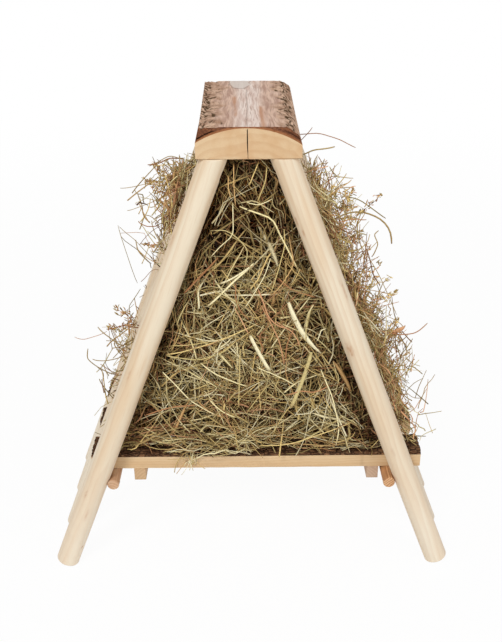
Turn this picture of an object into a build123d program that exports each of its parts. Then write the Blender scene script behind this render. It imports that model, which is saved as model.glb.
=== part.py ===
"""A-frame hay rack for rabbits and guinea pigs, in millimetres, +Z up.

A bark-topped ridge slab stands on four pairs of leaning rods. Two thin rails are
nailed along the inner side of the rods. A loose tray of three bark-topped planks,
joined by two battens, lies on the rails and carries the hay.

X runs across the rack, Y along the ridge with the front at -Y, and the origin lies
on the floor under the middle of the rack.
"""
from build123d import *

import os
from math import cos, radians, sin, tan

from numpy import interp

os.makedirs("parts", exist_ok=True)

# ---- driving dimensions ---------------------------------------------------------

# Leaning rods, four on each side.
leg_diameter = 20.0
leg_lean = 20.9             # degrees from upright
legs_per_side = 4
leg_pitch = 51.0            # from one rod's axis to the next, along Y

# Ridge slab: sawn underside and sides, natural round top.
ridge_underside = 372.4     # above the floor
ridge_width = 76.0
ridge_edge_left = 11.9      # height of the sawn wood side
ridge_edge_right = 10.0
ridge_crown_height = 22.2   # highest wood, under the bark
ridge_crown_shift = -1.2    # from the middle of the slab

# Bark on the ridge, planed flat; the planed face widens towards the rear.
planed_top_height = 23.2    # above the slab's underside
planed_inset_left = (2.8, 0.4)      # from the sawn side, at the front and at the rear
planed_inset_right = (11.4, 7.4)
shoulder_inset = (2.3, 0.8)         # foot of the natural round edge on the right
shoulder_drop = 6.3
shoulder_bulge = 0.8                # how far that edge stands out of its chord
planing_depth = 2.0                 # bark taken off by the plane

# How the rods meet the ridge.
leg_top_inset = 2.1         # sawn side of the ridge to the outside of a rod
leg_proud = 1.5             # rods stand this far past the ridge's sawn ends

# Rails.
rail_diameter = 10.0
rail_height = 87.8          # axis above the floor
rail_overhang = 5.0         # past the axis of the end rods
rail_bed = 0.5              # depth to which a rail is bedded into each rod

# Tray.
tray_seat_gap = 0.2         # planks above the top of the rails
plank_side_play = 1.5       # plank to the rod beside it
plank_overhang = 6.5        # plank ends past the outside of the rods
plank_wood = 12.0
plank_bark_edge = 3.2
plank_bark_crown = 4.6
batten_width = 10.0
batten_height = 12.0
batten_play = 6.8           # batten to rail when the tray is centred
tray_shift = 4.5            # the loose tray lies this far to the right

# Countersunk wood screws, driven up through each rod into the ridge.
screw_diameter = 3.0
screw_length = 25.0
screw_head_diameter = 6.0
screw_head_height = 2.0
screw_tip_length = 4.0
screw_lean = 20.0           # degrees from upright, outwards
screw_entry_drop = 14.0     # entry below the ridge, on the rod's inner side
screw_head_sink = 3.5       # head below the rod's surface at the entry
screw_pocket_clearance = 0.3

# Round nails through the rails and the battens.
nail_diameter = 1.6
nail_head_diameter = 3.4
nail_head_height = 0.8
rail_nail_length = 22.0
tray_nail_length = 21.0

# Hay. How far it swells out of the front gap between two rods is given for each side, at
# shares of its height. In the gaps further back the same swells lie lower.
hay_gap = 1.0               # hay to the rods, the ridge and the tray
hay_shares = [0, 0.15, 0.33, 0.43, 0.56, 0.70, 0.86, 1]
hay_swells = {
    "left": [-8, -3, 17, 18, -1, -1, 16, -6],
    "right": [-3, 5, 14, 19, 15, 17, 22, -4],
}
hay_fall_foot = 0.66        # how much lower they lie for each mm further back, at the foot
hay_fall_top = 0.28
hay_foot_inset = 8.0        # its foot on the planks, inside the rods' outer sides
hay_front_foot = 6.5        # hay's front foot behind the axis of the end rods
hay_front_top = 13.0
hay_front_swell = 5.0

# ---- places worked out from them --------------------------------------------------

lean = radians(leg_lean)
leg_radius = leg_diameter / 2
leg_half_width = leg_radius / cos(lean)
leg_top_x = ridge_width / 2 - leg_top_inset - leg_half_width
leg_run = (legs_per_side - 1) * leg_pitch
leg_places = [number * leg_pitch - leg_run / 2 for number in range(legs_per_side)]
foot_height = leg_radius * sin(lean)
ridge_length = leg_run + leg_diameter - 2 * leg_proud
planed_top = ridge_underside + planed_top_height

rail_radius = rail_diameter / 2
rail_length = leg_run + 2 * rail_overhang
rail_to_leg = leg_radius + rail_radius - rail_bed

plank_count = legs_per_side - 1
plank_width = leg_pitch - leg_diameter - 2 * plank_side_play
plank_places = [(a + b) / 2 for a, b in zip(leg_places, leg_places[1:])]
plank_underside = rail_height + rail_radius + tray_seat_gap
plank_top = plank_underside + plank_wood
tray_top = plank_top + plank_bark_crown
batten_length = (plank_count - 1) * leg_pitch + plank_width
batten_underside = plank_underside - batten_height

SIDES = {"left": -1, "right": 1}


def leg_axis_x(z):
    """Distance of a rod's axis from the middle plane at height z."""
    return leg_top_x + (ridge_underside - z) * tan(lean)


rail_x = leg_axis_x(rail_height) - rail_to_leg / cos(lean)
batten_x = rail_x - rail_radius - batten_play - batten_width / 2
plank_length = 2 * (leg_axis_x(tray_top) + leg_half_width + plank_overhang)
plank_names = ["front"] + [f"middle_{n}" for n in range(2, plank_count - 1)]
plank_names += ["middle"] * (plank_count > 2) + ["rear"] * (plank_count > 1)


def save(part, name):
    """Label one finished sub-part and write it to its own STEP file."""
    part.label = name
    export_step(part, f"parts/{name}.step")


# ---- fasteners ----------------------------------------------------------------------


def leg_screw_plane(side, y):
    """Plane at the top of a screw's head, with Z along the screw into the ridge."""
    tilt = radians(screw_lean)
    entry_z = ridge_underside - screw_entry_drop
    entry_x = leg_axis_x(entry_z) - leg_half_width
    x = entry_x + screw_head_sink * sin(tilt)
    z = entry_z + screw_head_sink * cos(tilt)
    return Plane((side * x, y, z), x_dir=(0, 1, 0), z_dir=(side * sin(tilt), 0, cos(tilt)))


def rail_nail_plane(side, y):
    """Plane on a rail's inner side, with Z through the rail and square into the rod."""
    x = rail_x - rail_radius * cos(lean)
    z = rail_height - rail_radius * sin(lean)
    return Plane((side * x, y, z), x_dir=(0, 1, 0), z_dir=(side * cos(lean), 0, sin(lean)))


def tray_nail_planes():
    """Planes under the battens, with Z up through the batten into each plank."""
    return [
        Plane((tray_shift + side * batten_x, y, batten_underside))
        for side in SIDES.values()
        for y in plank_places
    ]


def screw_shape(mode=Mode.ADD):
    """Countersunk head, round shank and conical point, standing on the current plane."""
    from_below = (Align.CENTER, Align.CENTER, Align.MIN)
    shank_end = screw_length - screw_tip_length
    radius = screw_diameter / 2
    Cone(screw_head_diameter / 2, radius, screw_head_height, align=from_below, mode=mode)
    Cylinder(radius, shank_end, align=from_below, mode=mode)
    with Locations((0, 0, shank_end)):
        Cone(radius, 0, screw_tip_length, align=from_below, mode=mode)


def nail_shape(length, mode=Mode.ADD):
    """Flat head and round shank, standing on the current plane."""
    from_below = (Align.CENTER, Align.CENTER, Align.MIN)
    Cylinder(nail_head_diameter / 2, nail_head_height, align=from_below, mode=mode)
    Cylinder(nail_diameter / 2, length, align=from_below, mode=mode)


# ---- ridge --------------------------------------------------------------------------

half_ridge = ridge_width / 2
ridge_front = Plane.XZ.offset(ridge_length / 2)
ridge_rear = Plane.XZ.offset(-ridge_length / 2)
edge_left = (-half_ridge, ridge_underside + ridge_edge_left)
edge_right = (half_ridge, ridge_underside + ridge_edge_right)
crown = (ridge_crown_shift, ridge_underside + ridge_crown_height)

with BuildSketch(ridge_front) as slab_section:
    with BuildLine():
        ThreePointArc(edge_left, crown, edge_right)
        Polyline(
            edge_right,
            (half_ridge, ridge_underside),
            (-half_ridge, ridge_underside),
            edge_left,
        )
    make_face()

with BuildPart() as ridge_wood:
    extrude(slab_section.sketch, amount=-ridge_length)
    for ridge_side in SIDES.values():
        with Locations([leg_screw_plane(ridge_side, y) for y in leg_places]):
            screw_shape(mode=Mode.SUBTRACT)
save(ridge_wood.part, "ridge_wood")


def bark_section(plane, left_inset, right_inset, foot_inset):
    """Bark before planing: sawn left side, and a round shoulder up to the planed face's right."""
    planed_left = (-half_ridge + left_inset, planed_top)
    planed_right = (half_ridge - right_inset, planed_top)
    rough_left = (planed_left[0], planed_top + planing_depth)
    rough_right = (planed_right[0], planed_top + planing_depth)
    shoulder_foot = (half_ridge - foot_inset, planed_top - shoulder_drop)
    with BuildSketch(plane) as section:
        with BuildLine():
            Polyline(shoulder_foot, edge_right, edge_left, planed_left, rough_left)
            Polyline(rough_left, rough_right, planed_right)
            SagittaArc(planed_right, shoulder_foot, shoulder_bulge)
        make_face()
    return section.sketch


bark_ends = [
    bark_section(plane, *insets)
    for plane, *insets in zip(
        (ridge_front, ridge_rear), planed_inset_left, planed_inset_right, shoulder_inset
    )
]

with BuildPart() as ridge_bark:
    loft(bark_ends, ruled=True)
    split(bisect_by=Plane.XY.offset(planed_top), keep=Keep.BOTTOM)
    extrude(slab_section.sketch, amount=-ridge_length, mode=Mode.SUBTRACT)
save(ridge_bark.part, "ridge_bark")

# ---- rods, rails and their fasteners ------------------------------------------------

leg_stock = (ridge_underside - foot_height) / cos(lean) + leg_diameter

for side_name, side in SIDES.items():
    foot_x = leg_axis_x(foot_height)
    rod_direction = (-side * sin(lean), 0, cos(lean))
    for number, y in enumerate(leg_places, start=1):
        foot_plane = Plane((side * foot_x, y, foot_height), x_dir=(0, 1, 0), z_dir=rod_direction)
        with BuildPart() as leg:
            with BuildSketch(foot_plane):
                Circle(leg_radius)
            extrude(amount=leg_stock)
            split(bisect_by=Plane.XY.offset(ridge_underside), keep=Keep.BOTTOM)
            with Locations((side * rail_x, y, rail_height)):
                Cylinder(rail_radius, leg_pitch, rotation=(90, 0, 0), mode=Mode.SUBTRACT)
            with Locations(leg_screw_plane(side, y)):
                screw_shape(mode=Mode.SUBTRACT)
                Cylinder(
                    screw_head_diameter / 2 + screw_pocket_clearance,
                    2 * leg_diameter,
                    align=(Align.CENTER, Align.CENTER, Align.MAX),
                    mode=Mode.SUBTRACT,
                )
            with Locations(rail_nail_plane(side, y)):
                nail_shape(rail_nail_length, mode=Mode.SUBTRACT)
        save(leg.part, f"leg_{side_name}_{number}")

    with BuildPart() as rail:
        with Locations((side * rail_x, 0, rail_height)):
            Cylinder(rail_radius, rail_length, rotation=(90, 0, 0))
        with Locations([rail_nail_plane(side, y) for y in leg_places]):
            nail_shape(rail_nail_length, mode=Mode.SUBTRACT)
    save(rail.part, f"rail_{side_name}")

    with BuildPart() as rail_nails:
        with Locations([rail_nail_plane(side, y) for y in leg_places]):
            nail_shape(rail_nail_length)
    save(rail_nails.part, f"rail_nails_{side_name}")

    with BuildPart() as leg_screws:
        with Locations([leg_screw_plane(side, y) for y in leg_places]):
            screw_shape()
    save(leg_screws.part, f"leg_screws_{side_name}")

# ---- tray ---------------------------------------------------------------------------

from_below = (Align.CENTER, Align.CENTER, Align.MIN)
plank_end = Plane.YZ.offset(tray_shift - plank_length / 2)

for plank_name, y in zip(plank_names, plank_places):
    with BuildPart() as plank:
        with Locations((tray_shift, y, plank_underside)):
            Box(plank_length, plank_width, plank_wood, align=from_below)
        with Locations(tray_nail_planes()):
            nail_shape(tray_nail_length, mode=Mode.SUBTRACT)
    save(plank.part, f"plank_{plank_name}")

    bark_front = y - plank_width / 2
    bark_rear = y + plank_width / 2
    with BuildPart() as plank_bark:
        with BuildSketch(plank_end):
            with BuildLine():
                Polyline(
                    (bark_front, plank_top + plank_bark_edge),
                    (bark_front, plank_top),
                    (bark_rear, plank_top),
                    (bark_rear, plank_top + plank_bark_edge),
                )
                ThreePointArc(
                    (bark_rear, plank_top + plank_bark_edge),
                    (y, tray_top),
                    (bark_front, plank_top + plank_bark_edge),
                )
            make_face()
        extrude(amount=plank_length)
    save(plank_bark.part, f"plank_bark_{plank_name}")

for side_name, side in SIDES.items():
    with BuildPart() as batten:
        with Locations((tray_shift + side * batten_x, 0, batten_underside)):
            Box(batten_width, batten_length, batten_height, align=from_below)
        with Locations(tray_nail_planes()):
            nail_shape(tray_nail_length, mode=Mode.SUBTRACT)
    save(batten.part, f"batten_{side_name}")

with BuildPart() as tray_nails:
    with Locations(tray_nail_planes()):
        nail_shape(tray_nail_length)
save(tray_nails.part, "tray_nails")

# ---- hay ----------------------------------------------------------------------------

hay_foot = tray_top + hay_gap
hay_top = ridge_underside - hay_gap
hay_height = hay_top - hay_foot
hay_middle = (hay_foot + hay_top) / 2
hay_flank_steps = 6


def straight_flank(side_name):
    """Foot and top of the hay's flank where it lies behind the rods."""
    edge = leg_half_width + hay_gap
    return [(SIDES[side_name] * (leg_axis_x(z) - edge), z) for z in (hay_foot, hay_top)]


def swollen_flank(side_name, y):
    """Points up the hay's flank in the gap at y, swollen out past the rods."""
    points = []
    for step in range(hay_flank_steps + 1):
        share = step / hay_flank_steps
        fall = hay_fall_foot + (hay_fall_top - hay_fall_foot) * share
        lowered = fall * (y - plank_places[0]) / hay_height
        swell = interp(share + lowered, hay_shares, hay_swells[side_name]) if step else -hay_foot_inset
        z = hay_foot + share * hay_height
        points.append((SIDES[side_name] * (leg_axis_x(z) + leg_half_width + swell), z))
    return points


def hay_section(plane, left, right):
    """Section across the hay between its two flanks, each a line or a smooth curve."""
    with BuildSketch(plane) as section:
        with BuildLine():
            for flank in (left, right):
                Line(*flank) if len(flank) == 2 else Spline(*flank)
            Line(left[0], right[0])
            Line(left[-1], right[-1])
        make_face()
    return section.sketch


hay_foot_y = leg_run / 2 - hay_front_foot
hay_top_y = leg_run / 2 - hay_front_top
hay_middle_y = (hay_foot_y + hay_top_y) / 2 + hay_front_swell
hay_gap_width = leg_pitch - leg_diameter - 2 * hay_gap

with BuildPart() as hay:
    between_rods = hay_section(Plane.XZ, straight_flank("left"), straight_flank("right"))
    extrude(between_rods, amount=leg_run / 2 + leg_radius, both=True)
    for y in plank_places:
        flanks = swollen_flank("left", y), swollen_flank("right", y)
        extrude(hay_section(Plane.XZ.offset(-y), *flanks), amount=hay_gap_width / 2, both=True)
    with BuildSketch(Plane.YZ):
        with BuildLine():
            Line((-hay_foot_y, hay_foot), (hay_foot_y, hay_foot))
            ThreePointArc((hay_foot_y, hay_foot), (hay_middle_y, hay_middle), (hay_top_y, hay_top))
            Line((hay_top_y, hay_top), (-hay_top_y, hay_top))
            ThreePointArc((-hay_top_y, hay_top), (-hay_middle_y, hay_middle), (-hay_foot_y, hay_foot))
        make_face()
    extrude(amount=leg_axis_x(0), both=True, mode=Mode.INTERSECT)
save(hay.part, "hay")
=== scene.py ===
from collections import namedtuple
from math import cos, pi, radians, sin, tan

import bpy
import numpy as np
from mathutils import Matrix, Vector


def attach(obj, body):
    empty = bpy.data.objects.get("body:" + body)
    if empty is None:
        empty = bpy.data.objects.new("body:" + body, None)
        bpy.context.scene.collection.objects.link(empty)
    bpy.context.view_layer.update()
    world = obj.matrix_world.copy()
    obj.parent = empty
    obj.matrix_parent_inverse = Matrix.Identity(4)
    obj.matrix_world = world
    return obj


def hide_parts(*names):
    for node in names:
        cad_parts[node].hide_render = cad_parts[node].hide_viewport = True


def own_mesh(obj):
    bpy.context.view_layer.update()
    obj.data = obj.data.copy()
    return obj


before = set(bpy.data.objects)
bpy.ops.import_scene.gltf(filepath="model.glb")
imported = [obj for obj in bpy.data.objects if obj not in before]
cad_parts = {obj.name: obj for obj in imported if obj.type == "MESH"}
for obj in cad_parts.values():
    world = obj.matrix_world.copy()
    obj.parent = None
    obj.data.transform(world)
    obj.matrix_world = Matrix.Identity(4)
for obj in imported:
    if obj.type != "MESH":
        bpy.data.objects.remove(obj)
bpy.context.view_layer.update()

# ------------------------------------------------------------------ paper, light and camera
# The rack stands on a wide sheet of white paper in an evenly lit white room, with one
# large soft lamp above the left of the camera and a weaker one on the right.


class Wire:
    """A shader socket to reckon with: a + b, 1 - a, a * b and a / b each add one Math node."""

    def __init__(self, finish, socket):
        self.finish = finish
        self.socket = socket

    def maths(self, operation, *others):
        return self.finish.node("Math", {"operation": operation}, dict(enumerate((self, *others))))

    def __add__(self, other):
        return self.maths("ADD", other)

    __radd__ = __add__

    def __sub__(self, other):
        return self.maths("SUBTRACT", other)

    def __rsub__(self, other):
        return self.finish.node("Math", {"operation": "SUBTRACT"}, {0: other, 1: self})

    def __mul__(self, other):
        return self.maths("MULTIPLY", other)

    __rmul__ = __mul__

    def __truediv__(self, other):
        return self.maths("DIVIDE", other)


class Finish:
    """A finish made of shader nodes, which all come from one method."""

    def __init__(self, holder):
        holder.use_nodes = True
        self.holder = holder
        self.tree = holder.node_tree
        self.tree.nodes.clear()

    def node(self, kind, settings=None, sockets=None, out=0):
        """Adds a node. Its settings and a ramp's stops are set before its sockets' values and links."""
        made = self.tree.nodes.new("ShaderNode" + kind)
        for name, value in (settings or {}).items():
            if name == "stops":
                stops = made.color_ramp.elements
                for extra in range(len(value) - len(stops)):
                    stops.new(1.0)
                for stop, (position, colour) in zip(stops, value):
                    stop.position = position
                    stop.color = colour
            else:
                setattr(made, name, value)
        for name, value in (sockets or {}).items():
            if isinstance(value, Wire):
                self.tree.links.new(value.socket, made.inputs[name])
            else:
                made.inputs[name].default_value = value
        return Wire(self, made.outputs[out]) if made.outputs else None

    def mix(self, share, first, second, kind="MIX"):
        """Colour between two others, by a share from 0 to 1."""
        settings = {"data_type": "RGBA", "blend_type": kind, "clamp_factor": True}
        return self.node("Mix", settings, {0: share, 6: first, 7: second}, out=2)

    def layers(self, base, *laid):
        """A colour with others laid over it in turn, each by its own share from 0 to 1."""
        for share, colour in laid:
            base = self.mix(share, base, colour)
        return base

    def step(self, value, low, high):
        """0 below low, 1 above high and a smooth step between them."""
        settings = {"interpolation_type": "SMOOTHSTEP", "clamp": True}
        return self.node("MapRange", settings, {0: value, 1: low, 2: high, 3: 0.0, 4: 1.0})

    def stretch(self, place, scale):
        """A place with each axis multiplied by its own scale."""
        return self.node("VectorMath", {"operation": "MULTIPLY"}, {0: place, 1: scale})

    def place(self):
        """The piece's own place, in millimetres."""
        return self.stretch(self.node("TexCoord", {}, out="Object"), (1000.0, 1000.0, 1000.0))

    def noise(self, place, scale, detail=2.0, roughness=0.5, distortion=0.0):
        """Smooth noise from 0 to 1 over a place, with each axis multiplied by its own scale."""
        sockets = {"Vector": self.stretch(place, scale), "Scale": 1.0, "Detail": detail}
        sockets |= {"Roughness": roughness, "Distortion": distortion}
        return self.node("TexNoise", {"noise_dimensions": "3D"}, sockets)

    def stored(self, name, out="Fac"):
        """A value that the mesh holds at its points."""
        return self.node("Attribute", {"attribute_name": name}, out=out)

    def surface(self, colour, roughness, height=None, relief=0.001, strength=1.0, gloss=0.5, **fixed):
        """The finish's surface: colour, roughness and a bump that is relief metres high."""
        sockets = {"Base Color": colour, "Roughness": roughness, "Specular IOR Level": gloss} | fixed
        if height is not None:
            bump = {"Height": height, "Distance": relief, "Strength": strength}
            sockets["Normal"] = self.node("Bump", {}, bump)
        body = self.node("BsdfPrincipled", {}, sockets)
        self.node("OutputMaterial", {}, {"Surface": body})
        return self.holder


def paint(red, green, blue):
    """A colour written as it is seen, 0 to 255, turned into light."""
    seen = np.array([red, green, blue]) / 255
    light = np.where(seen <= 0.04045, seen / 12.92, ((seen + 0.055) / 1.055) ** 2.4)
    return (*light.tolist(), 1.0)


def seen_by(finish):
    """1 for what the camera, a mirror or glass sees, 0 for what lights the rack."""
    camera, glossy, through = (
        finish.node("LightPath", out=f"Is {ray} Ray") for ray in ("Camera", "Glossy", "Transmission")
    )
    return (camera + glossy + through).maths("MINIMUM", 1.0)


WHITE = paint(255, 255, 255)
PAPER_HALF = 9.0
PAPER_GLOW = 0.95
PAPER_FADE = (0.5, 1.8)
ROOM_LIGHT = 0.42

room = Finish(bpy.data.worlds.new("white_room"))
bpy.context.scene.world = room.holder
room_share = seen_by(room)
room_strength = room_share + (1 - room_share) * ROOM_LIGHT
room_glow = room.node("Background", {}, {"Color": WHITE, "Strength": room_strength})
room.node("OutputWorld", {}, {"Surface": room_glow})

paper = Finish(bpy.data.materials.new("white_paper"))
paper_lit = paper.node("BsdfDiffuse", {}, {"Color": paint(252, 252, 251)})
paper_glow = paper.node("Emission", {}, {"Color": WHITE, "Strength": 1.0})
from_rack = paper.node("TexCoord", {}, out="Object")
from_rack = paper.node("VectorMath", {"operation": "LENGTH"}, {0: from_rack}, out="Value")
glow_share = PAPER_GLOW + (1 - PAPER_GLOW) * paper.step(from_rack, *PAPER_FADE)
paper_mixed = paper.node(
    "MixShader", {}, {0: seen_by(paper) * glow_share, 1: paper_lit, 2: paper_glow}
)
paper.node("OutputMaterial", {}, {"Surface": paper_mixed})

paper_mesh = bpy.data.meshes.new("paper")
paper_corners = PAPER_HALF * np.array([(-1, -1, 0), (1, -1, 0), (1, 1, 0), (-1, 1, 0)])
paper_mesh.from_pydata(paper_corners.tolist(), [], [(0, 1, 2, 3)])
paper_mesh.materials.append(paper.holder)
floor = bpy.data.objects.new("paper", paper_mesh)
bpy.context.collection.objects.link(floor)


LAMP_AIM = Vector((0.0, 0.0, 0.2))


def hang_lamp(name, place, size, power):
    """A square soft lamp at place, turned towards the rack."""
    lamp = bpy.data.lights.new(name, "AREA")
    lamp.size = size
    lamp.energy = power
    hung = bpy.data.objects.new(name, lamp)
    bpy.context.collection.objects.link(hung)
    turn = (Vector(place) - LAMP_AIM).to_track_quat("Z", "Y")
    hung.matrix_world = Matrix.Translation(place) @ turn.to_matrix().to_4x4()


hang_lamp("soft_lamp", (-1.1, -2.5, 2.8), size=0.9, power=66.0)
hang_lamp("side_lamp", (2.6, -2.4, 1.5), size=1.6, power=29.0)

SENSOR = 36.0
LENS = 48.387
CAMERA_PLACE = (-0.0016, -0.6851, 0.5382)
CAMERA_TURN = radians(-0.224)
CAMERA_DOWN = radians(26.046)
CAMERA_ROLL = radians(-0.395)

camera_data = bpy.data.cameras.new("camera")
camera_data.sensor_width = SENSOR
camera_data.lens = LENS
camera = bpy.data.objects.new("camera", camera_data)
bpy.context.collection.objects.link(camera)
camera.matrix_world = (
    Matrix.Translation(CAMERA_PLACE)
    @ Matrix.Rotation(CAMERA_TURN, 4, "Z")
    @ Matrix.Rotation(pi / 2 - CAMERA_DOWN, 4, "X")
    @ Matrix.Rotation(CAMERA_ROLL, 4, "Z")
)
bpy.context.scene.camera = camera
bpy.context.scene.view_settings.view_transform = "Standard"

# ------------------------------------------------------------------ leaning rods
# Eight 20 mm rods of light peeled wood, smooth but for a few knots and scuffs. Each is cut
# square at the foot and level at the top, and is screwed into the ridge from its inner side.

MM = 0.001
SIDES = {"left": -1, "right": 1}
LEG_RADIUS = 10.0
LEAN = radians(20.9)
HALF_ROD = LEG_RADIUS / cos(LEAN)
RIDGE_HALF_WIDTH = 38.0
LEG_INSET = 2.1
LEG_TOP_X = RIDGE_HALF_WIDTH - LEG_INSET - HALF_ROD
RIDGE_UNDERSIDE = 372.4
FOOT_Z = LEG_RADIUS * sin(LEAN)
LEG_Y = (-76.5, -25.5, 25.5, 76.5)


def leg_axis_x(z):
    """Distance of a rod's axis from the middle plane at height z: the top one plus drop times lean."""
    return LEG_TOP_X + (RIDGE_UNDERSIDE - z) * tan(LEAN)


def unit(vectors):
    """Vectors divided by their lengths."""
    return vectors / np.maximum(np.linalg.norm(vectors, axis=-1, keepdims=True), 1e-9)


def gather(*parts):
    """Numbers and arrays side by side along a new last axis, such as the X, Y and Z of points."""
    return np.stack(np.broadcast_arrays(*parts), -1)


def ripple(places, size, seed, waves=9):
    """Uneven surface of about unit height: a sum of plane waves that run in random directions.

    Each wave is a sine of the place along its own direction, and size is a wave's length in
    millimetres along X, Y and Z.
    """
    dice = np.random.default_rng(seed)
    runs = unit(dice.normal(size=(waves, 3))) * dice.uniform(0.6, 1.7, (waves, 1))
    phases = dice.uniform(0, 2 * pi, waves)
    return np.sin(2 * pi * (places / np.asarray(size)) @ runs.T + phases).sum(-1) * (2 / waves) ** 0.5


def smooth(value, low, high):
    """0 below low, 1 above high and 3t^2 - 2t^3 between them."""
    t = np.clip((value - low) / (high - low), 0, 1)
    return t * t * (3 - 2 * t)


def volume(points, quads):
    """Six times the volume inside quads, which is negative where they face inwards."""
    a, b, c, d = (points[quads[:, corner]] for corner in range(4))
    return float((np.cross(a, b) * c).sum() + (np.cross(a, c) * d).sum())


WOOD_CREASE = 42.0


def lay_mesh(name, points, faces, flat, values, finish, crease=None):
    """Puts whole arrays into a mesh: points in millimetres, faces as arrays of corner numbers.

    flat is each face corner's place on the piece's flat layout, values are held at the points,
    and an edge sharper than crease degrees stays sharp.
    """
    mesh = bpy.data.meshes.new(name)
    corners = np.concatenate([part.ravel() for part in faces])
    counts = np.concatenate([np.full(len(part), part.shape[1]) for part in faces])
    mesh.vertices.add(len(points))
    mesh.vertices.foreach_set("co", (points * MM).astype(np.float32).ravel())
    mesh.loops.add(len(corners))
    mesh.loops.foreach_set("vertex_index", corners.astype(np.int32))
    mesh.polygons.add(len(counts))
    mesh.polygons.foreach_set("loop_start", (np.cumsum(counts) - counts).astype(np.int32))
    mesh.update(calc_edges=True)
    layout = mesh.uv_layers.new(name="OFBake")
    spots = np.concatenate([part.reshape(-1, 2) for part in flat])
    layout.uv.foreach_set("vector", spots.astype(np.float32).ravel())
    for label, held in values.items():
        kind = "FLOAT_VECTOR" if held.ndim == 2 else "FLOAT"
        attribute = mesh.attributes.new(label, kind, "POINT")
        field = "vector" if held.ndim == 2 else "value"
        attribute.data.foreach_set(field, held.astype(np.float32).ravel())
    mesh.shade_smooth()
    if crease is not None:
        mesh.set_sharp_from_angle(angle=radians(crease))
    mesh.materials.append(finish)
    piece = bpy.data.objects.new(name, mesh)
    bpy.context.collection.objects.link(piece)
    return piece


def fit(piece, body, slot, *nodes):
    """The piece rides on a body and stands for CAD nodes. The slot is not used."""
    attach(piece, body)
    if nodes:
        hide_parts(*nodes)


def round_skin(rings):
    """Closed skin over rings of points, (rows, columns, 3): quads between neighbours and two poles.

    A pole is the middle of its end ring. Returns the points, the faces and the flat layout,
    which is the column across and the distance along the rows upwards, both from 0 to 1.
    """
    rows, columns = rings.shape[:2]
    points = np.concatenate([rings.reshape(-1, 3), rings[[0, -1]].mean(1)])
    row, column = np.meshgrid(np.arange(rows - 1), np.arange(columns), indexing="ij")
    row, column = row.ravel(), column.ravel()
    after = (column + 1) % columns
    here, there = row * columns, (row + 1) * columns
    quads = gather(here + column, here + after, there + after, there + column)
    edge = np.arange(columns)
    next_edge = (edge + 1) % columns
    first = gather(next_edge, edge, rows * columns)
    base = (rows - 1) * columns
    last = gather(base + edge, base + next_edge, rows * columns + 1)
    gap = np.linalg.norm(np.diff(rings, axis=0), axis=-1).mean(1)
    ends = np.linalg.norm(rings[[0, -1]] - rings[[0, -1]].mean(1, keepdims=True), axis=-1).mean(1)
    run = np.cumsum(np.concatenate([[0], ends[:1], gap, ends[1:]]))
    run /= run[-1]
    up = run[1:-1]
    across = gather(column, column + 1, column + 1, column) / columns
    along = gather(up[row], up[row], up[row + 1], up[row + 1])
    half = edge + 0.5
    first_flat = gather(gather(edge + 1, edge, half) / columns, [up[0], up[0], 0])
    last_flat = gather(gather(edge, edge + 1, half) / columns, [up[-1], up[-1], 1])
    faces, flat = [quads, first, last], [gather(across, along), first_flat, last_flat]
    if volume(points, quads) < 0:
        faces = [part[:, ::-1] for part in faces]
        flat = [part[:, ::-1] for part in flat]
    return points, faces, flat


FINE_REACH = 8.0


def bar_rows(length, radius, rim, fine):
    """Rows of a round bar's outline from pole to pole: share of the radius, and distance along.

    The outline runs out over the first end, round its rim, along the side, and back in over
    the other end. Within reach of the places in fine, the side gets rows every 0.7 mm.
    """
    side = [np.arange(rim, length - rim, 2.0), [length - rim]]
    for place in fine:
        side.append(np.arange(max(place - FINE_REACH, rim), min(place + FINE_REACH, length - rim), 0.7))
    side = np.unique(np.concatenate(side).round(2))
    turn = np.linspace(0, pi / 2, 4)[:-1]
    over = np.array([0.3, 0.6, 0.85])
    round_share = 1 - rim / radius * (1 - np.sin(turn))
    round_along = rim * (1 - np.cos(turn))
    share = np.concatenate([over, round_share, np.ones(len(side)), round_share[::-1], over[::-1]])
    along = np.concatenate([0 * over, round_along, side, length - round_along[::-1], length + 0 * over])
    return share, along


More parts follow.
